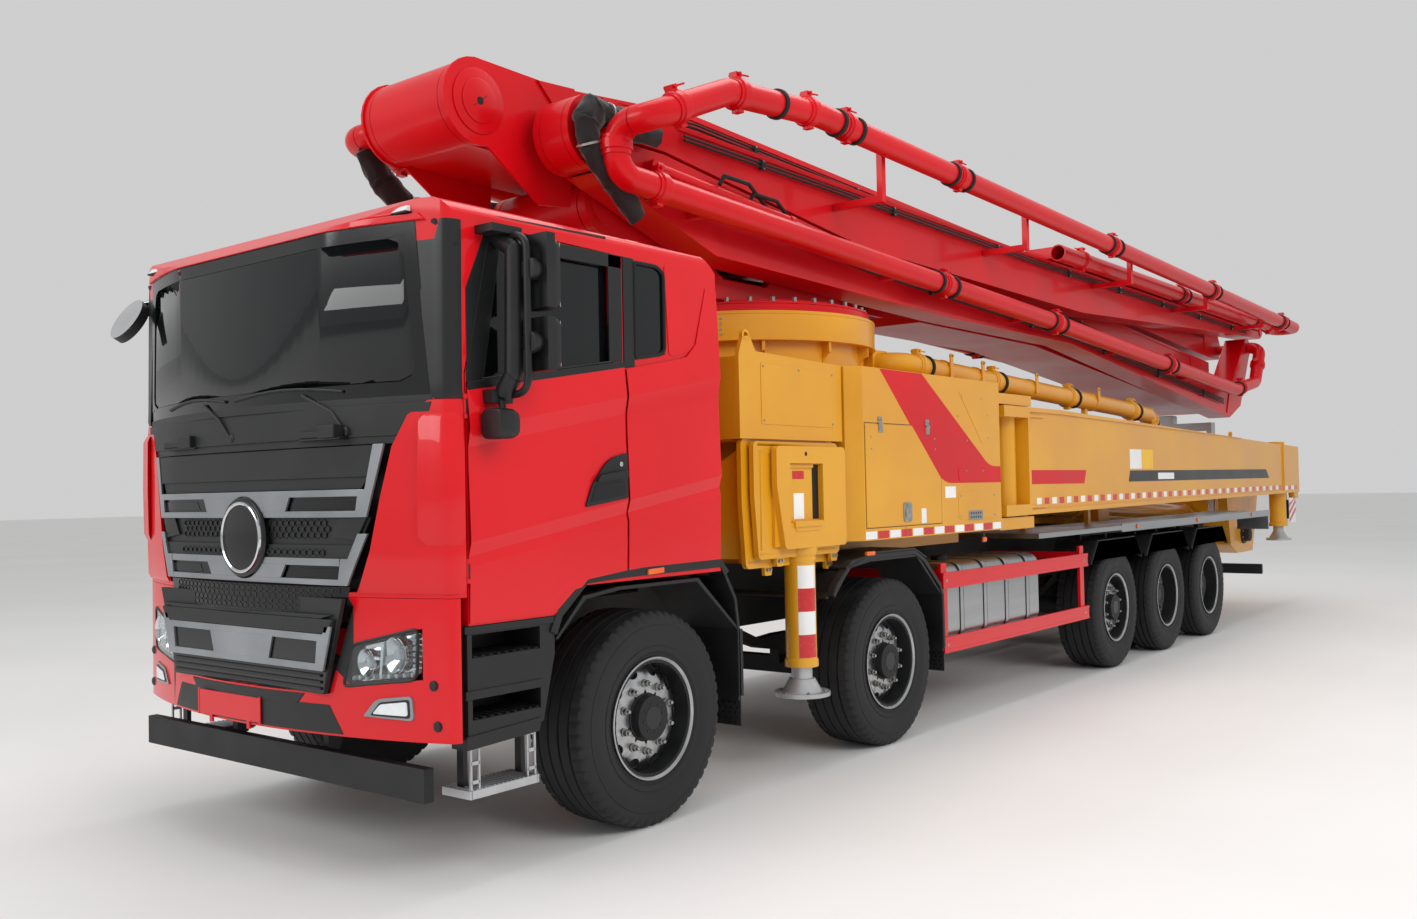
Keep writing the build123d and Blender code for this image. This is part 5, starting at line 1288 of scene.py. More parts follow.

# %% [markdown]
# ## Side covers
# Each cover behind the front leg carries the broad red stripe, a top-hung service hatch
# with two hinges and a paddle latch, two screwed panels, a vent plate with ten holes and
# blank signs, with reflective tape along its foot. The vent's holes are black discs,
# painted shade inside them. The stripe's lower corner is round.

# %% Covers
STRIPE = [(2215, 2397), (2764, 2397), (3755, 1779), (3937, 1779), (3937, 1660), (3020, 1660)]
stripe_outline = rounded(STRIPE, [0, 0, 90, 0, 0, 150])
stripe_edge = ((2215, 2397), (3051 - 2215, 1647 - 2397))
hatch_outline = box_outline(2020, 2998, 1392, 2042, 14)

for side, sign in TWO_SIDES:
    stripe = Bench().use(boom_red)
    film(stripe, stripe_outline, COVER_X)
    stripe.object(f"cover_stripe_{side}", "chassis", bevel=0, sign=sign)

    hatch = Bench().use(machine_yellow).use(boom_red).use(machine_yellow)  # yellow is slot 0, red slot 1
    hatch.bowed(hatch_outline, COVER_X, COVER_X + 4, lambda y, z: 0, [stripe_edge], "X")
    (y0, z0), (dy, dz) = stripe_edge
    for face in hatch.mesh.faces:
        centre = face.calc_center_median()
        beyond = (centre.y - y0) * dz - (centre.z - z0) * dy < 0
        if beyond and face.material_index == 0:
            face.material_index = 1
    hatch.object(f"cover_hatch_{side}", "chassis", bevel=1.5, sign=sign)

    # Dark strips round the hatch and down from it: painted shade for the joint gaps.
    gap_shades = Bench().use(frame_black)
    gap_shade(gap_shades, [(2014, 2048), (3004, 2048), (3004, 1386), (2014, 1386), (2014, 2048)], COVER_X)
    gap_shade(gap_shades, [(2505, 1386), (2505, 1316)], COVER_X, 3)
    gap_shades.object(f"cover_gap_shades_{side}", "chassis", bevel=0, sign=sign)

    panels = Bench().use(machine_yellow)
    upper = [(3290, 2305), (3700, 2297), (3762, 2180), (3762, 1958), (3640, 1945)]
    film(panels, rounded(upper, [10, 50, 60, 12, 12]), COVER_X, 2.5)
    film(panels, box_outline(3255, 3845, 1400, 1600, 45), COVER_X, 2.5)
    panels.use(boom_red)
    film(panels, box_outline(3262, 3745, 1672, 1770, 35), COVER_X, 3.5)
    panels.object(f"cover_panels_{side}", "chassis", bevel=1.2, sign=sign)

    fittings = Bench().use(zinc_bolt)
    screws(fittings, [(2087, 1961), (2092, 1886), (2918, 1963), (2921, 1891)], COVER_X + 4)
    screws(fittings, [(3340, 2280), (3640, 2270), (3735, 2150), (3740, 1985), (3270, 2130),
                      (3400, 1960)], COVER_X + 2)
    screws(fittings, [(3285, 1570), (3815, 1570), (3290, 1425), (3815, 1425), (3380, 1745),
                      (3640, 1745)], COVER_X + 3)
    for y in (2202, 2819):
        fittings.plate(box_outline(y - 26, y + 26, 2048, 2090, 4), COVER_X, COVER_X + 5)
        fittings.plate(box_outline(y - 26, y + 26, 1990, 2036, 4), COVER_X + 3, COVER_X + 9)
        for dy in (-17, 0, 17):
            fittings.turned([(-8, 7), (8, 7)], (COVER_X + 8, y + dy, 2042), "Y", 14)
        screws(fittings, [(y - 14, 2070), (y + 14, 2070), (y - 14, 2012), (y + 14, 2012)], COVER_X + 8, 5, 3)
    fittings.plate(box_outline(2470, 2580, 1412, 1540, 30), COVER_X + 3, COVER_X + 10)
    fittings.plate(box_outline(2492, 2558, 1440, 1502, 14), COVER_X + 9, COVER_X + 15)
    fittings.turned([(9, 0.1), (9, 12), (16, 11), (16, 0.1)], (COVER_X, 2525, 1522), "X", 18)
    fittings.object(f"cover_fittings_{side}", "chassis", bevel=1, sign=sign)

    vent = Bench().use(brushed_sheet)
    vent.plate(box_outline(3402, 3622, 1396, 1462, 4), COVER_X + 2, COVER_X + 5)
    # Black discs for the ten vent holes: painted shade inside them.
    vent.use(frame_black)
    for i in range(5):
        for j in range(2):
            vent.turned([(0, 0.1), (0, 8), (6, 8), (6, 0.1)], (COVER_X, 3440 + i * 36, 1415 + j * 28),
                        "X", 12)
    vent.object(f"cover_vent_{side}", "chassis", bevel=0, sign=sign)

    signs = Bench().use(plate_white)
    film(signs, box_outline(3060, 3215, 1558, 1637, 4), COVER_X)
    film(signs, box_outline(2713, 2778, 1397, 1495, 4), COVER_X + 4)
    tape(signs, (2006, 1318), (3936, 1318), COVER_X, 48, 13)
    signs.object(f"cover_signs_{side}", "chassis", bevel=0, sign=sign)

    lamp = Bench()
    lamp.use(frame_black).plate([(3655, 1312), (3695, 1312), (3688, 1265), (3662, 1265)], 1222, 1228)
    marker_lamp(lamp, (1222, 3675, 1246), (34, 60))
    lamp.object(f"cover_marker_{side}", "chassis", bevel=2, sign=sign)
print("covers: stripe, hatch, panels, signs and tape on both sides")

# %% [markdown]
# ## Front legs
# The two telescoping boxes end in thick collars, and the outer collar frames a window
# with the jack's housing in it: a lit box beside a dark recess, with a red patch and a
# blank sign, above a bolted ledge. The recess is a flat black plate, painted shade. The
# jack's tube wears a long two-colour tape, a band of film bent round it. Everything here
# travels with its own stage.

# %% Legs and jacks
WINDOW_X = 1200


def tape_on_tube(bench, centre, radius, low, high, angles, bands):
    """Bands of tape bent round an upright tube, between two angles from straight out."""
    x, y = centre
    for k, colour in enumerate(bands):
        z0 = high - (high - low) * k / len(bands)
        z1 = high - (high - low) * (k + 1) / len(bands) + 2
        bench.use(colour)
        rings = []
        for i in range(9):
            angle = math.radians(angles[0] + (angles[1] - angles[0]) * i / 8)
            c, s = math.cos(angle), math.sin(angle)
            rings.append([(x + c * r, y + s * r, z) for r, z in
                          ((radius - 1, z0), (radius + 1.2, z0), (radius + 1.2, z1), (radius - 1, z1))])
        bench.skin(rings)


JACK = (1130, 1440)  # X and Y of the front jacks' axes

for side, sign in TWO_SIDES:
    panel = Bench().use(machine_yellow)
    panel.plate(rounded([(1053, 2015), (1806, 2012), (1808, 2352), (1053, 2366)], 12), 1154, 1159)
    panel.use(zinc_bolt)
    screws(panel, [(1075, 2345), (1788, 2335), (1075, 2035), (1788, 2032), (1430, 2342)], 1158.5, 8, 5)
    panel.use(machine_yellow)
    panel.turned(box_outline(-13, 13, 34, 20), (1142, 922, 2508), "X", 24, closed=True)
    panel.object(f"frame_panel_{side}", "chassis", bevel=1.5, sign=sign)

    # Black plate: painted shade of the recess beside the jack's housing.
    dress_up = Bench().use(frame_black)
    dress_up.plate(box_outline(1484, 1549, 1464, 1786), WINDOW_X - 0.5, WINDOW_X + 1.5)
    dress_up.use(machine_yellow)
    dress_up.plate(box_outline(1216, 1240, 1464, 1786), WINDOW_X - 1, WINDOW_X + 8)
    dress_up.plate(box_outline(1216, 1480, 1766, 1787), WINDOW_X - 1, WINDOW_X + 14)
    dress_up.plate(box_outline(1238, 1525, 1424, 1457, 5), 1180, 1249)
    dress_up.plate([(1250, 1425), (1512, 1425), (1500, 1398), (1262, 1398)], 1190, 1240)
    dress_up.use(red_film)
    film(dress_up, box_outline(1281, 1400, 1700, 1748, 6), WINDOW_X)
    dress_up.use(plate_white)
    film(dress_up, box_outline(1290, 1395, 1468, 1618, 5), WINDOW_X)
    dress_up.use(frame_black)
    dress_up.turned([(-1, 0.1), (-1, 13), (1, 13), (1, 0.1)], (1235, 1376, 1846), "X", 20)
    dress_up.use(zinc_bolt)
    for y in (1285, 1385, 1470):
        hex_bolt(dress_up, (1222, y, 1400), "Z", 11, 13, -1)
    dress_up.object(f"jack_window_{side}", f"front_arm_{side}", bevel=2, sign=sign)

    tube = Bench().use(machine_yellow)
    bulge = [(1300, 92), (1300, 108), (1262, 108), (1246, 97), (1232, 101), (1218, 97), (1205, 92)]
    tube.turned([(z, r - 1) for z, r in bulge], (*JACK, 0), "Z", 40)
    tube.turned([(600, 91), (600, 100), (640, 100), (652, 91)], (*JACK, 0), "Z", 40)
    tube.object(f"jack_rings_{side}", f"front_arm_{side}", bevel=2, sign=sign)
    bands = Bench()
    tape_on_tube(bands, JACK, 92, 655, 1195, (-64, 12), [plate_white, red_film] * 2)
    bands.object(f"jack_tape_{side}", f"front_arm_{side}", bevel=0, sign=sign)

    for stage, body, x, z, places in (
        (0, "chassis", 1130, 1218, (1130, 1760)),
        (1, f"front_leg_{side}", 1180, 1268, (1180, 1745)),
    ):
        pads = Bench().use(machine_yellow)
        for y in places:
            pads.plate(rounded([(y - 32, z - 66), (y + 32, z - 66), (y + 40, z + 30), (y - 40, z + 30)],
                               10), x - 28, x - 4)
        pads.use(zinc_bolt)
        for y in places:
            hex_bolt(pads, (x - 4, y - 14, z - 34), "X", 9, 12)
            hex_bolt(pads, (x - 4, y + 14, z - 34), "X", 9, 12)
        pads.object(f"slide_pads_{stage}_{side}", body, bevel=2, sign=sign)
    foot = Bench().use(zinc_bolt)
    for k in range(6):
        angle = math.radians(60 * k + 20)
        hex_bolt(foot, (JACK[0] + 138 * math.cos(angle), JACK[1] + 138 * math.sin(angle), 454), "Z", 9, 9)
    foot.object(f"foot_bolts_{side}", f"front_jack_{side}", bevel=0.5, sign=sign)
print("front legs: panels, windows, ledges, tapes and bolts")

# %% [markdown]
# ## Slewing ring
# The turret turns on a bearing whose inner ring is held by a circle of bolts. They are
# one of the first things seen above the yellow band, so each is a hexagon head on a
# washer. The red flange under them belongs to the turret and turns with it.

# %% Ring bolts
SLEW_CENTRE = (0, 2440, 0)
ring = Bench().use(boom_red)
ring.turned([(2842, 806), (2842, 893), (2852, 893), (2856, 889), (2856, 806)], SLEW_CENTRE, "Z", 96,
            closed=True)
ring.use(zinc_bolt)
for k in range(36):
    angle = 2 * math.pi * k / 36
    hex_bolt(ring, (858 * math.cos(angle), SLEW_CENTRE[1] + 858 * math.sin(angle), 2856), "Z", 17, 30)
ring.object("slew_ring_bolts", "turret", bevel=1)
band = Bench().use(machine_yellow)
for z in (2606, 2776):
    band.turned([(z - 8, 925), (z - 6, 934), (z + 6, 934), (z + 8, 925)], SLEW_CENTRE, "Z", 96, closed=True)
band.use(zinc_bolt)
for k in range(4):
    for angle in (-118, -62):
        turn = math.radians(angle)
        place = (932 * math.cos(turn), SLEW_CENTRE[1] + 932 * math.sin(turn), 2640 + 34 * k)
        band.turned([(-4, 0.1), (-4, 9), (4, 8), (4, 0.1)], place, "Y", 10)
band.object("pedestal_band", "chassis", bevel=1.5)
print("slewing ring: 36 bolts")

# %% [markdown]
# ## Rear beams
# Each rear leg is a long box beam whose web lies between proud edges. The web carries
# the rest of the red stripe, a black stripe with slanted ends and two blank signs, and
# the two-colour tape follows the lower edge. The beam narrows to the rear, so the tape
# is set out along its slope instead of level. All of it swings out with the leg.

# %% Beams
for side, sign in TWO_SIDES:
    body = f"rear_leg_{side}"
    paint = Bench().use(boom_red)
    film(paint, [(4482, 1639), (5588, 1637), (5636, 1750), (4482, 1750)], WEB_X)
    paint.use(stripe_black)
    film(paint, [(6645, 1643), (11470, 1651), (11330, 1757), (6691, 1745)], WEB_X)
    paint.use(plate_white)
    film(paint, box_outline(7445, 7915, 1661, 1723, 4), WEB_X + 0.8)
    film(paint, box_outline(6692, 6996, 1762, 1942, 4), WEB_X)
    paint.use(yellow_sign)
    film(paint, box_outline(7000, 7312, 1762, 1942, 4), WEB_X)
    tape(paint, (4606, 1478), (12080, 1502), WEB_X, 52, 50)
    tape(paint, (12140, 1494), (12740, 1498), 1250 - 0.7, 52, 4)
    paint.object(f"beam_stripes_{side}", body, bevel=0, sign=sign)

    steel = Bench().use(machine_yellow)
    for z0, z1 in ((2160, 2186), (1452, 1478)):
        steel.plate(rounded([(4180, z0), (4760, z0 + 4), (4760, z1 - 8), (4180, z1)], 4), 1228, 1249)
    for y in (7600, 10150):
        top = 2240 - (y - 5070) * 190 / 7790
        steel.plate(rounded([(y - 50, top - 8), (y + 50, top - 10), (y + 30, top + 46),
                             (y - 30, top + 46)], 12), 1150, 1168)
        steel.turned(box_outline(-15, 15, 16, 28), (1159, y, top + 44), "X", 20, closed=True)
    steel.plate(rounded([(12700, 1380), (12852, 1380), (12852, 1470), (12640, 1470)], 10), 1160, 1235)
    steel.object(f"beam_fittings_{side}", body, bevel=2.5, sign=sign)

    rear = Bench().use(machine_yellow)
    rear.turned([(1030, 99), (1030, 112), (1070, 112), (1080, 99)], (1095, 12380, 0), "Z", 40)
    rear.plate(box_outline(12480, 12840, 1050, 1462, 12), 1088, 1100)
    rear.use(plate_white)
    rear.plate(box_outline(12500, 12820, 1070, 1390), 1200, 1206)
    rear.use(red_film)
    for k in range(3):
        low = 1070 + 100 * k
        stripe = [(12500, low), (12820, low + 150), (12820, low + 200), (12500, low + 50)]
        rear.plate([(y, min(z, 1390)) for y, z in stripe], 1205, 1207.5)
    rear.use(frame_black)
    for y in (12540, 12780):
        rear.plate(box_outline(y - 10, y + 10, 1120, 1360), 1098, 1201)
    rear.object(f"rear_jack_guard_{side}", body, bevel=1.5, sign=sign)
print("rear beams: stripes, signs and tapes")

# %% [markdown]
# ## Deck, tanks and side guards
# The deck's edge is an aluminium channel with amber markers. The fuel tanks are brushed
# aluminium held by steel straps with rubber under them, and the red guard rails are
# rolled with a groove along the middle.

# %% Deck edge and side guards
for side, sign in TWO_SIDES:
    edge = Bench().use(brushed_sheet)
    edge.plate(box_outline(6400, 11398, 1196, 1264), 1236, 1246)
    for z in (1198, 1262):
        edge.plate(box_outline(6400, 11398, z - 7, z + 3), 1240, 1249)
    for y in (6793, 8572, 10588):
        marker_lamp(edge, (1242, y, 1230), (34, 34))
    edge.object(f"deck_edge_{side}", "chassis", bevel=1.5, sign=sign)

    rails = Bench().use(cab_red)
    for z in (990, 550):
        for dz in (-43, 43):
            rails.plate(box_outline(2998, 5582, z + dz - 11, z + dz + 11), 1240, 1249)
    rails.use(zinc_bolt)
    for y in (3050, 5500):
        for z in (990, 550):
            hex_bolt(rails, (1245, y, z), "X", 9, 3)
    rails.object(f"guard_rails_{side}", "chassis", bevel=2.5, sign=sign)

    tank = rounded(box_outline(690, 1210, 560, 1100), 92, 8)
    outer = [(x + math.copysign(5, x - 950), z + math.copysign(5, z - 830)) for x, z in tank]
    under = [(x + math.copysign(2, x - 950), z + math.copysign(2, z - 830)) for x, z in tank]
    straps = Bench()
    for y in (3330, 3700, 4060, 4430):
        straps.use(rubber).plate(under, y - 34, y + 34, "Y")
        straps.use(brushed_sheet).plate(outer, y - 22, y + 22, "Y")
        straps.use(zinc_bolt).rod((1180, y, 548), (1180, y, 530), 9, sides=6)
    straps.use(black_plastic)
    straps.turned([(1098, 0.1), (1098, 62), (1128, 62), (1134, 54), (1134, 0.1)], (940, 3520, 0), "Z", 32)
    straps.use(brushed_sheet)
    for y in (3124, 4636):
        straps.plate([(x * 0.98 + 19, z * 0.98 + 16.6) for x, z in tank], y - 8, y + 8, "Y")
    straps.object(f"tank_straps_{side}", "chassis", bevel=1.5, sign=sign)
print("deck edge, guard rails and tank straps")

# %% [markdown]
# ## Deck line
# The concrete leaves the pump through a wear-resistant line along the deck. Its pipes
# meet in clamp couplings: two half rings drawn together by a lever, which sits on top as
# a small block with a handle. Black rubber collars damp the pipes in their clips.

# %% Coupling and collar tools
def along(start, end, distance):
    """Point on a run at a distance from its start, and the run's direction."""
    a, b = Vector(start), Vector(end)
    ahead = (b - a).normalized()
    return a + ahead * distance, ahead


def band_round(bench, centre, ahead, radius, profile, sides=28):
    """A closed ring round a pipe: profile is (place along the pipe, height over it)."""
    side = ahead.orthogonal().normalized()
    up = ahead.cross(side)
    rings = []
    for i in range(sides):
        angle = 2 * math.pi * i / sides
        out = side * math.cos(angle) + up * math.sin(angle)
        rings.append([centre + ahead * a + out * (radius + h) for a, h in profile])
    bench.skin(rings, closed=True)


def coupling(bench, start, end, distance, radius, paint, up=(0, 0, 1)):
    """A clamp coupling with its lever block on one side of the pipe."""
    centre, ahead = along(start, end, distance)
    up = (Vector(up) - ahead * ahead.dot(Vector(up))).normalized()
    across = ahead.cross(up)
    bench.use(paint)
    band_round(bench, centre, ahead, radius, [(-52, -3), (-52, 7), (-30, 8), (-26, 17), (26, 17),
                                              (30, 8), (52, 7), (52, -3)])
    for out, tall in ((up, 1), (-up, 0.55)):
        base = centre + out * (radius + 12)
        low = [base + across * a + ahead * b for a, b in ((-26, -24), (26, -24), (26, 24), (-26, 24))]
        bench.skin([low, [p + out * 34 * tall for p in low]])
    knob = centre + up * (radius + 34)
    bench.pipe([knob - across * 40, knob + across * 40], 11, 10)
    bench.pipe([knob + across * 10, knob + across * 22 + ahead * 60, knob + across * 24 + ahead * 92],
               9, 8, 6)


def damper(bench, start, end, distance, radius):
    """A black rubber collar round the pipe."""
    centre, ahead = along(start, end, distance)
    bench.use(rubber)
    band_round(bench, centre, ahead, radius, [(-17, -2), (-17, 9), (-12, 14), (12, 14), (17, 9), (17, -2)])


# %% Deck line
DECK_LINE = [(300, 11300, 1500), (300, 10600, 1950), (850, 8300, 2330), (850, 7500, 2375),
             (850, 3150, 2530), (703, 3150, 2530)]
line = Bench()
for i, distances in ((4, (260, 1500, 3050)), (3, (300,)), (2, (250, 1500)), (1, (260,))):
    start, end = DECK_LINE[i], DECK_LINE[i - 1]
    for distance in distances:
        coupling(line, start, end, distance, 80, machine_yellow)
        damper(line, start, end, distance + 120, 80)
start, end = DECK_LINE[4], DECK_LINE[3]
for distance in (650, 1180, 2200, 3600):
    centre, ahead = along(start, end, distance)
    line.use(machine_yellow)
    band_round(line, centre, ahead, 80, [(-14, -2), (-14, 8), (14, 8), (14, -2)])
    line.plate(box_outline(centre.y - 22, centre.y + 22, 2412, centre.z + 128),
               centre.x + 80, centre.x + 92)
    line.use(zinc_bolt).rod((centre.x + 70, centre.y, centre.z + 110),
                            (centre.x + 104, centre.y, centre.z + 110), 9)
line.object("deck_line_couplings", "chassis", bevel=1.5)
print("deck line: couplings, collars and clips")

# %% [markdown]
# ## Boom lines
# The delivery line runs beside the folded boom and crosses each pin through two bends,
# so that it can turn with the joint. Every length ends in a clamp coupling, and rubber
# collars sit beside the couplings. Runs are named by the two ends of each straight
# pipe, and the fittings are placed by their distance along it, on the section that
# carries the pipe.

# %% Couplings on the near line
IN_X, OUT_X, PIPE_R = 860, 1150, 75
LOWER_RUNS = [
    ((IN_X, 200, 3590), (IN_X, 200, 3330), (110,), ()),
    ((IN_X, 200, 3330), (IN_X, 5700, 3090), (330, 3650), (3530, 3770)),
    ((IN_X, 5700, 3090), (IN_X, 11500, 2760), (250, 3300), (130, 370, 3180, 3420)),
    ((IN_X, 11500, 2760), (IN_X, 12400, 2900), (230,), (120,)),
    ((IN_X, 12400, 2900), (IN_X, 12700, 3380), (280,), ()),
]
UPPER_RUNS = [
    ((OUT_X, 200, 3590), (OUT_X, 800, 3850), (170,), ()),
    ((OUT_X, 800, 3850), (OUT_X, 1700, 3930), (90, 800), (480,)),
    ((OUT_X, 1700, 3930), (OUT_X, 13350, 3660), (330, 1850, 4900, 7950, 10900),
     (220, 440, 1740, 1960, 4790, 5010, 7840, 8060, 10790, 11010)),
]
TIP_RUNS = [
    ((IN_X, 13350, 3660), (IN_X, 12900, 3720), (250,), ()),
    ((IN_X, 12900, 3720), (IN_X, 6050, 3720), (400, 3400, 6300), (290, 510, 3290, 3510)),
]


def fit_runs(name, body, runs):
    """Couplings and rubber collars along every run of one section's pipe."""
    fittings = Bench()
    for start, end, couplings, dampers in runs:
        for distance in couplings:
            coupling(fittings, start, end, distance, PIPE_R, boom_red)
        for distance in dampers:
            damper(fittings, start, end, distance, PIPE_R)
    fittings.object(name, body, bevel=1.2)


fit_runs("lower_line_couplings", "boom_4", LOWER_RUNS)
fit_runs("upper_line_couplings", "boom_5", UPPER_RUNS)
fit_runs("tip_line_couplings", "boom_6", TIP_RUNS)
print("near line: couplings and rubber collars")

# %% Couplings on the far line
far_in, far_out = -490, -780
FAR_RUNS = (
    ("boom_1", [((far_in, 600, 3300), (far_in, 12250, 2850), (300, 3400, 6500, 9600, 11300),
                 (3280, 3520, 6380, 6620))]),
    ("boom_2", [((far_out, 12250, 2850), (far_out, -300, 3710), (300, 3300, 6400, 9500, 12200),
                 (3180, 3420, 9380, 9620))]),
    ("boom_3", [((far_in, 150, 3830), (far_in, 12700, 3380), (300, 3400, 6500, 9600),
                 (3280, 3520, 6380, 6620))]),
)
for body, runs in FAR_RUNS:
    fit_runs(f"far_line_{body}", body, runs)
print("far line: couplings and rubber collars")

# %% [markdown]
# ## Folds of the boom
# At the front fold a heavy cheek plate wraps the pin, with stepped discs round a split
# lock ring. The discs are turned. The bore is a flat black disc and the split's pair of
# narrow slots are thin black rods, all painted shade. The cheek is drawn as an outline
# that follows the boom's own edges.

# %% Cheek plate and pin discs
def pin_discs(bench, centre, face, radii, high, sign=1):
    """Stepped discs over a pin, with a bore and a split ring drawn as black marks of painted shade."""
    y, z = centre
    bench.use(boom_red)
    for k, radius in enumerate(radii):
        bottom, top = face + sign * high * k, face + sign * high * (k + 1)
        rim = [(bottom, 0.1), (bottom, radius), (top - sign * 2, radius), (top, radius - 3), (top, 0.1)]
        bench.turned(rim, (0, y, z), "X", 48)
    top = face + sign * high * len(radii)
    # Black disc and rods: painted shade of the bore and of the split's slots.
    bench.use(frame_black)
    bench.turned([(top - sign, 0.1), (top - sign, 22), (top + sign, 22), (top + sign, 0.1)], (0, y, z),
                 "X", 24)
    for turn in (38, 218):
        c, s = math.cos(math.radians(turn)), math.sin(math.radians(turn))
        a, b = Vector((top, y + c * 22, z + s * 22)), Vector((top, y + c * 58, z + s * 58))
        bench.rod(a, b, 2.5, sides=6)


def arc(centre, radius, start, end, steps=14):
    """Points on an arc in the side view, angles in degrees from the rear."""
    made = []
    for k in range(steps + 1):
        angle = math.radians(start + (end - start) * k / steps)
        made.append((centre[0] + radius * math.cos(angle), centre[1] + radius * math.sin(angle)))
    return made


PIN_23, PIN_45 = (-300, 3710), (200, 3590)
cheek = Bench().use(boom_red)
outline = [(150, 3932), (420, 3950), (470, 3800), (390, 3560), (372, 3262), (130, 3236)]
outline += arc(PIN_23, 232, 285, 95)
for x0, x1 in ((331, 347), (-347, -331)):
    cheek.plate(outline, x0, x1)
cheek.plate([(120, 3925), (180, 3925), (560, 3560), (540, 3520)], 346, 362)
for x in (1, -1):
    pin_discs(cheek, PIN_23, 347 * x, (172, 118), 9, x)
cheek.object("front_cheek_plate", "boom_3", bevel=3)

caps = Bench()
pin_discs(caps, PIN_45, 714, (96, 70), 8)
caps.object("cross_pin_cap", "boom_4", bevel=2)
print("cheek plate and pin discs")

# %% [markdown]
# ## Hoses and hydraulic lines
# Hoses that cross a fold are bundled in a black cloth sleeve, tied at both ends. The
# cloth is thin and full, so it sags into folds between its ties. Each sleeve is a tube
# along a curve whose section swells and pinches, and waves move its skin in and out.

# %% Cloth sleeves
def sleeve(name, body, points, wide, flat, ties):
    """Black cloth sleeve round a bundle of hoses, tied at some places along it."""
    line = bend(points, 150, 8)
    path = []
    for a, b in zip(line, line[1:]):
        steps = max(1, int((b - a).length / 22))
        path += [a.lerp(b, i / steps) for i in range(steps)]
    path.append(line[-1])
    cloth = Bench().use(sleeve_cloth)
    rings = []
    ahead = (path[1] - path[0]).normalized()
    side = Vector((1, 0, 0))
    total = len(path) - 1
    for i, point in enumerate(path):
        tangent = (path[min(i + 1, total)] - path[max(i - 1, 0)]).normalized()
        across = (side - tangent * side.dot(tangent)).normalized()
        out = tangent.cross(across)
        t = i / total
        pinch = min(abs(t - tie) for tie in ties)
        full = 0.72 + 0.28 * min(1, pinch * 9)
        ring = []
        for k in range(28):
            angle = 2 * math.pi * k / 28
            crease = 1 + 0.05 * math.sin(7 * angle + 5 * math.sin(i * 0.35))
            crease += 0.045 * math.sin(i * 0.9 + 3 * math.sin(2 * angle))
            sideways = across * math.cos(angle) * flat * full * crease
            ring.append(point + sideways + out * math.sin(angle) * wide * full * crease)
        rings.append(ring)
    cloth.skin(rings)
    cloth.use(zinc_bolt)
    for tie in ties[1:-1]:
        i = int(tie * total)
        tangent = (path[min(i + 1, total)] - path[i - 1]).normalized()
        band_round(cloth, path[i], tangent, max(wide, flat) * 0.74, [(-6, -3), (-6, 4), (6, 4), (6, -3)])
    cloth.object(name, body, bevel=0, smooth=60)


sleeve_cloth = finish("black_sleeve_cloth", ("0A0A0B", "161617"), 60, (0.7, 0.9), 1.2, 0.5, Sheen_Weight=0.25)
sleeve("front_hose_sleeve", "boom_4",
       [(775, 640, 3640), (775, 420, 3800), (778, 60, 3830), (778, -90, 3640), (778, -60, 3400),
        (778, 220, 3190), (774, 460, 3150)],
       86, 56, (0, 0.28, 0.62, 1))
sleeve("far_hose_sleeve", "boom_2",
       [(-636, -306, 3640), (-620, -350, 3430), (-600, -140, 3215), (-560, 260, 3160), (-420, 540, 3380)],
       84, 56, (0, 0.5, 1))
print("cloth sleeves over the hoses")

# %% Hydraulic lines and clips
LINES = (
    ("boom_4", 708, [(1250, 3400), (3000, 3230), (6700, 3060), (11500, 2650)], 3, 26),
    ("boom_5", 708, [(950, 3720), (2500, 3700), (6000, 3640), (12600, 3600)], 2, 24),
    ("boom_3", 340, [(900, 3935), (1500, 3985), (12000, 3570)], 4, 24),
    ("boom_3", -340, [(900, 3935), (1500, 3985), (12000, 3570)], 4, 24),
    ("boom_2", 338, [(900, 3640), (4300, 3600), (11400, 3010)], 2, 24),
    ("boom_1", 338, [(2600, 3340), (4300, 3300), (11400, 2720)], 3, 26),
    ("boom_1", -338, [(2600, 3340), (4300, 3300), (11400, 2720)], 3, 26),
)
for n, (body, x, points, count, step) in enumerate(LINES):
    lines = Bench()
    out = 1 if x > 0 else -1
    for k in range(count):
        lines.use(rubber if k % 2 else cast_grey)
        lines.pipe([(x + out * 8, y, z - k * step) for y, z in points], 8, 8)
    for (ya, za), (yb, zb) in zip(points, points[1:]):
        clips = max(1, int(math.hypot(yb - ya, zb - za) / 1300))
        for i in range(clips):
            t = (i + 0.5) / clips
            y, z = ya + (yb - ya) * t, za + (zb - za) * t
            low = z - (count - 1) * step - 18
            x0, x1 = sorted((x - out * 4, x + out * 20))
            lines.use(frame_black).plate(box_outline(y - 22, y + 22, low, z + 18), x0, x1)
            lines.use(zinc_bolt)
            for edge in (low + 6, z + 10):
                lines.turned([(x1, 0.1), (x1, 7), (x1 + 5, 6), (x1 + 5, 0.1)] if out > 0 else
                             [(x0, 0.1), (x0, 7), (x0 - 5, 6), (x0 - 5, 0.1)], (0, y, edge), "X", 10)
    lines.object(f"hydraulic_lines_{n + 1}_{body}", body, bevel=0)
print("hydraulic lines on", len(LINES), "sides")

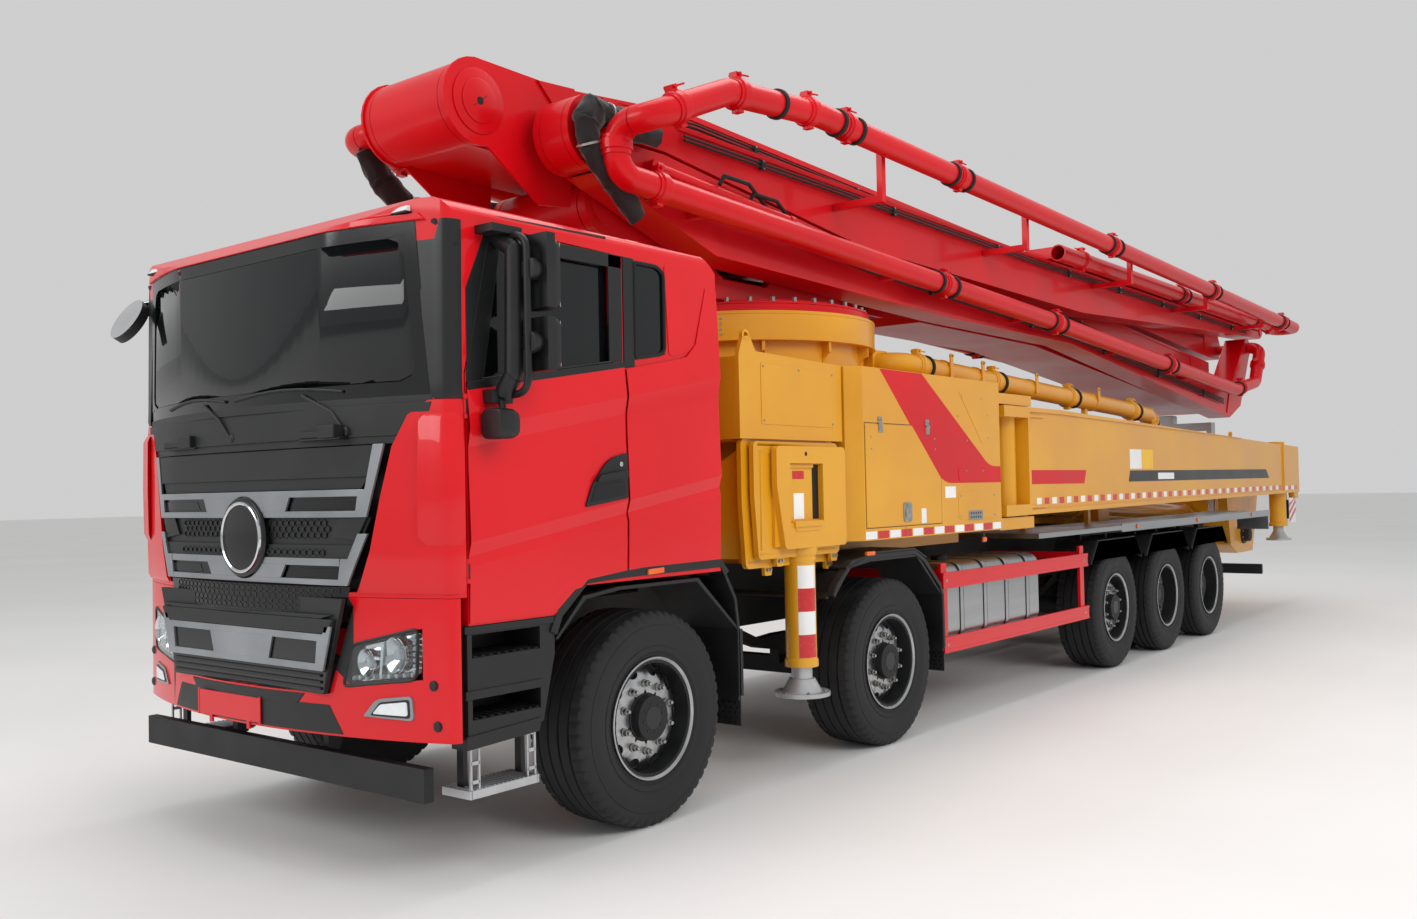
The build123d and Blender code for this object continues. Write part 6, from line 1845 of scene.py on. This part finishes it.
# %% Joint cylinder and its hoses
ram = Bench()
start, end = Vector((741, 640, 3470)), Vector((741, 2700, 3320))
ahead = (end - start).normalized()
ram.use(boom_red).rod(start, start + ahead * 1350, 38, sides=28)
for along_it in (0, 1320):
    band_round(ram, start + ahead * (along_it + 20), ahead, 36, [(-26, 0), (-26, 8), (26, 8), (26, 0)])
ram.use(chrome).rod(start + ahead * 1340, end, 22, sides=24)
ram.use(boom_red)
for place in (start, end):
    ram.turned([(703, 46), (775, 46)], (0, place.y, place.z), "X", 28)
ram.use(rubber)
hose = [(775, 1200, 3470), (800, 1180, 3560), (800, 1480, 3600), (790, 1700, 3520), (730, 1760, 3420)]
ram.pipe(bend(hose, 80), 13, 10)
ram.pipe(bend([(x - 26, y + 330, z - 46) for x, y, z in hose], 80), 13, 10)
ram.object("fold_cylinder", "boom_4", bevel=1.5)
print("fold cylinder with its hoses")

# %% Lift cylinder
gland = Bench().use(boom_red)
BARREL_PIN, ROD_PIN = Vector((0, 1850, 3020)), Vector((0, 4100, 3090))
ahead = (ROD_PIN - BARREL_PIN).normalized()
for distance, wide, high in ((1860, 40, 13), (170, 30, 10), (1500, 14, 7)):
    band_round(gland, BARREL_PIN + ahead * distance, ahead, 105,
               [(-wide, -2), (-wide, high), (wide, high), (wide, -2)], 40)
gland.use(cast_grey)
gland.pipe(bend([(60, 2050, 3130), (60, 2050, 3165), (60, 3600, 3212), (60, 3600, 3180)], 30), 11, 10)
gland.object("lift_cylinder_rings", "lift_barrel", bevel=2)
print("lift cylinder rings and line")

# %% [markdown]
# ## Rear end
# The rear carries lamp clusters on their boards, a hazard bar under the hopper, and
# the hopper itself with its rubber collar, ribs and a flanged drive on both sides. The
# lamps are built as real ones are: a black housing, then coloured lenses with a rim.

# %% Lamps, hazard bar and number plate place
for side, sign in TWO_SIDES:
    lamps = Bench().use(black_plastic)
    lamps.plate(box_outline(890, 1220, 1045, 1200, 14), 11398, 11416, "Y")
    for x0, x1, glass in ((898, 970, lamp_white), (978, 1060, amber_lens), (1068, 1212, red_lens)):
        lamps.use(glass).plate(box_outline(x0, x1, 1056, 1188, 12), 11414, 11430, "Y")
    lamps.object(f"rear_lamps_{side}", "chassis", bevel=2.5, sign=sign)

hazard = Bench()
for i in range(16):
    x = -1120 + i * 140
    hazard.use(plate_white if i % 2 else red_film)
    hazard.plate(box_outline(x, x + 140, 486, 594), 11449, 11451.5, "Y")
hazard.use(frame_black)
for x in (-380, 380):
    hazard.plate([(x - 30, 590), (x + 30, 590), (x + 40, 900), (x - 40, 900)], 11412, 11440, "Y")
hazard.use(plate_white).plate(box_outline(-260, 260, 560, 700, 8), 11452, 11456, "Y")
hazard.object("rear_hazard_bar", "chassis", bevel=1)
print("rear lamps, hazard bar and blank plate")

# %% Hopper fittings
DRIVE_Y, DRIVE_Z = 12230, 930
hopper = Bench().use(rubber)
rim = box_outline(-694, 694, 11566, 12954, 30)
hole = box_outline(-655, 655, 11605, 12915, 20)
for (a, b), (c, d) in zip(zip(rim, rim[1:] + rim[:1]), zip(hole, hole[1:] + hole[:1])):
    hopper.skin([[(*a, 1424), (*b, 1424), (*d, 1424), (*c, 1424)],
                 [(*a, 1428), (*b, 1428), (*d, 1428), (*c, 1428)]])
hopper.use(machine_yellow)
for x in (-701, 695):
    for y in (11760, 12020, 12280, 12540):
        low = 830 if y < 12500 else 900
        hopper.plate(box_outline(y - 8, y + 8, low, 1400), x, x + 6)
    hopper.plate([(11620, 1396), (12920, 1396), (12940, 1424), (11600, 1424)], x - 3, x + 9)
for x in (-1, 1):
    hopper.use(cast_grey)
    hopper.turned([(x * 694, 118), (x * 724, 118), (x * 730, 92), (x * 790, 88), (x * 796, 60)],
                  (0, DRIVE_Y, DRIVE_Z), "X", 32)
    hopper.use(zinc_bolt)
    for k in range(8):
        angle = math.radians(45 * k + 20)
        place = (x * 724, DRIVE_Y + 104 * math.cos(angle), DRIVE_Z + 104 * math.sin(angle))
        hex_bolt(hopper, place, "X", 9, 10, x)
hopper.object("hopper_fittings", "chassis", bevel=1.5)

bars = Bench().use(frame_black)
for x in range(-600, 601, 60):
    if abs(x + 360) % 180 > 1:
        bars.rod((x, 11940, 1478), (x, 12860, 1478), 6, sides=8)
for y in (12160, 12500, 12800):
    bars.rod((-650, y, 1479), (650, y, 1479), 8, sides=10)
bars.use(machine_yellow)
bars.pipe(bend([(-120, 12900, 1470), (-120, 12924, 1540), (120, 12924, 1540), (120, 12900, 1470)], 30),
          10, 10)
bars.object("hopper_grid_bars", "hopper_lid", bevel=0)
print("hopper collar, ribs, drive and grid")

# %% Pump cylinders and deck plates
pump = Bench()
for x in (-180, 180):
    start, end = Vector((x, 6100, 1500)), Vector((x, 11700, 1190))
    ahead = (end - start).normalized()
    pump.use(machine_yellow)
    for distance in (30, 1700, 2120, 5300):
        band_round(pump, start + ahead * distance, ahead, 120, [(-22, -2), (-22, 26), (22, 26), (22, -2)], 36)
    pump.use(zinc_bolt)
    side = Vector((1, 0, 0))
    up = ahead.cross(side)
    for distance in (1700, 2120):
        for k in range(10):
            angle = math.radians(36 * k)
            out = (side * math.cos(angle) + up * math.sin(angle)) * 134
            centre = start + ahead * distance + out
            pump.rod(centre - ahead * 36, centre + ahead * 36, 8, sides=6)
    pump.use(machine_yellow)
    for k in (45, 135):
        out = (side * math.cos(math.radians(k)) + up * math.sin(math.radians(k))) * 138
        pump.rod(start + ahead * 2150 + out, start + ahead * 5280 + out, 11, sides=10)
pump.use(rubber)
for x, dx in ((-60, -180), (60, 180)):
    pump.pipe(bend([(x, 5900, 1700), (x, 6040, 1760), (x + dx * 0.6, 6200, 1720), (dx, 6260, 1620)],
                   60), 18, 12)
pump.object("pump_cylinder_fittings", "chassis", bevel=1.5)

deck = Bench().use(brushed_sheet)
for side_x in (-1, 1):
    for y in range(6050, 11300, 620):
        for row in range(5):
            for i in range(11):
                x = side_x * (600 + row * 78)
                v = y + i * 54 + (row % 2) * 27
                low = [(x - 14, v - 4), (x + 14, v + 4), (x + 10, v + 8), (x - 18, v)]
                deck.plate(low, 1249.5, 1252, "Z")
deck.object("deck_tread_pattern", "chassis", bevel=0)
print("pump fittings and deck tread")

# %% Deck box, boom rest and controls
box_dress = Bench().use(brushed_sheet)
for x in (-380, 0, 380):
    box_dress.plate(box_outline(x - 160, x + 160, 1300, 1930, 24), 5899, 5906, "Y")
    box_dress.plate(box_outline(x - 160, x + 160, 4690, 5860, 24), 1978, 1986, "Z")
box_dress.use(black_plastic)
for x in (-250, 130, 510):
    box_dress.plate(box_outline(x - 26, x + 4, 1560, 1680, 8), 5904, 5918, "Y")
for i in range(8):
    z = 1360 + i * 66
    for x in (-562, 560):
        box_dress.plate([(4800, z), (5300, z), (5290, z + 28), (4810, z + 28)], x, x + 2)
box_dress.use(rubber)
box_dress.plate(box_outline(-190, 190, 11156, 11294, 12), 2449, 2456, "Z")
box_dress.use(machine_yellow)
for x in (-630, 630):
    box_dress.plate([(11170, 1250), (11280, 1250), (11236, 1600), (11214, 1600)], x - 48, x + 48)
box_dress.object("deck_box_and_rest", "chassis", bevel=2.5)

cabinet = Bench().use(cab_red)
cabinet.plate(box_outline(6300, 6820, 1255, 1900, 16), -880, -640)
cabinet.use(black_plastic)
cabinet.plate(box_outline(6350, 6770, 1300, 1850, 12), -888, -879)
cabinet.use(chrome).turned([(-896, 14), (-888, 16)], (0, 6730, 1600), "X", 16)
cabinet.object("control_cabinet", "chassis", bevel=4)
print("deck box, rest pad and cabinet")

# %% [markdown]
# ## Inside the cab
# The seats are seen through the glass, so they are more than blocks: a crowned cushion,
# a back with side bolsters, and a head restraint on two posts. The wheel has a padded
# boss, and a dark hood covers the dials.

# %% Seats and dash
def cushion(bench, centre, half, tilt, crown=0.22):
    """A padded block: rounded in plan and crowned, leaning back by a tilt."""
    cx, cy, cz = centre
    hx, hy, hz = half
    lean = Matrix.Rotation(math.radians(tilt), 3, "X")
    rings = []
    for k in range(9):
        t = -1 + 2 * k / 8
        size = (1 - abs(t) ** 3 * crown)
        outline = rounded(box_outline(-hx * size, hx * size, -hy * size, hy * size),
                          min(hx, hy) * 0.5, 4)
        rings.append([Vector((cx, cy, cz)) + lean @ Vector((x, y, t * hz)) for x, y in outline])
    bench.skin(rings)


for side, sign in TWO_SIDES:
    seat = Bench().use(seat_cloth)
    cushion(seat, (620, -310, 1745), (255, 250, 75), -4)
    cushion(seat, (620, -20, 2040), (245, 82, 330), -10)
    for x in (-215, 215):
        cushion(seat, (620 + x, -60, 2010), (48, 66, 270), -10)
    cushion(seat, (620, 70, 2460), (150, 52, 88), -10)
    seat.use(chrome)
    for x in (-60, 60):
        seat.rod((620 + x, 45, 2330), (620 + x, 66, 2420), 8)
    seat.object(f"seat_{side}", "chassis", bevel=0, sign=sign, smooth=60)
dash = Bench().use(dark_trim)
cushion(dash, (620, -1090, 2060), (300, 105, 60), 0, 0.4)
cushion(dash, (-300, -1090, 2030), (520, 105, 40), 0, 0.3)
dash.use(black_plastic)
dash.turned([(-30, 64), (24, 70), (34, 50)], (620, -770, 2090), "Z", 28)
dash.turn(43, (620, -770, 2090), "X", dash.count() - 84)
dash.object("dash_hood", "chassis", bevel=2)
print("seats, hood and wheel boss")

# %% [markdown]
# ## Studio
# The truck stands on a plain pale floor that runs into an equally pale surround, as on a
# roll of studio paper. Three large soft lights do the work: one along the driver's side,
# one over the nose, and one overhead that outlines roof and boom. Large lights give the
# long clean reflections that show how flat or curved a panel is.

# %% Floor
def floor_sheet(half, name):
    mesh = bpy.data.meshes.new(name)
    mesh.from_pydata([(-half, -half, 0), (half, -half, 0), (half, half, 0), (-half, half, 0)], [],
                     [(0, 1, 2, 3)])
    sheet = bpy.data.objects.new(name, mesh)
    bpy.context.scene.collection.objects.link(sheet)
    sheet.data.materials.append(floor_paint)
    return sheet


floor_paint = finish("pale_studio_floor", ("E4E4E3", "E9E9E8"), 3000, (0.55, 0.65), 20, 0.02)
floor_sheet(120, "studio_floor")
print("floor laid")

# %% Lights
world = bpy.data.worlds.new("studio_surround")
bpy.context.scene.world = world
world.use_nodes = True
surround = world.node_tree.nodes["Background"]
surround.inputs["Color"].default_value = linear("FFFFFF")
surround.inputs["Strength"].default_value = 0.62
for name, place, aim, size, power in (
    ("side_softbox", (11, -6, 8), (1, -2, 1.5), (9, 5), 620),
    ("nose_softbox", (-3, -16, 7), (0, -7, 1.5), (7, 4), 420),
    ("top_softbox", (0, 0, 12), (0, 0, 2), (6, 18), 700),
):
    lamp = bpy.data.lights.new(name, "AREA")
    lamp.shape = "RECTANGLE"
    lamp.size, lamp.size_y = size
    lamp.energy = power
    holder = bpy.data.objects.new(name, lamp)
    bpy.context.scene.collection.objects.link(holder)
    holder.location = place
    holder.rotation_euler = (Vector(aim) - Vector(place)).to_track_quat("-Z", "Y").to_euler()
    holder.visible_glossy = name != "side_softbox"
bpy.context.scene.view_settings.view_transform = "Standard"
print("studio lit")

# %% [markdown]
# ## Camera
# The view is from the left front at a standing person's eye height, with a lens a little
# wider than normal, close enough that the cab towers and the boom runs off to the rear.
# The camera is set from its heading, its small upward pitch and its small roll.

# %% Camera
HEADING, PITCH, ROLL = 128.53, 1.37, -1.15
camera = bpy.data.cameras.new("camera")
camera.sensor_width = 36
camera.lens = 31.29
camera.clip_end = 500
eye = bpy.data.objects.new("camera", camera)
bpy.context.scene.collection.objects.link(eye)
heading, pitch = math.radians(HEADING), math.radians(PITCH)
ahead = Vector((math.cos(heading) * math.cos(pitch), math.sin(heading) * math.cos(pitch), math.sin(pitch)))
right = ahead.cross(Vector((0, 0, 1))).normalized()
up = right.cross(ahead)
roll = math.radians(ROLL)
right, up = right * math.cos(roll) + up * math.sin(roll), up * math.cos(roll) - right * math.sin(roll)
axes = Matrix((right, up, -ahead)).transposed().to_4x4()
eye.matrix_world = Matrix.Translation((5.258, AXLE_1 - 4.588, 1.653)) @ axes
bpy.context.scene.camera = eye
print("camera at", [round(v, 2) for v in eye.location])

# %% Update the scene
bpy.context.view_layer.update()
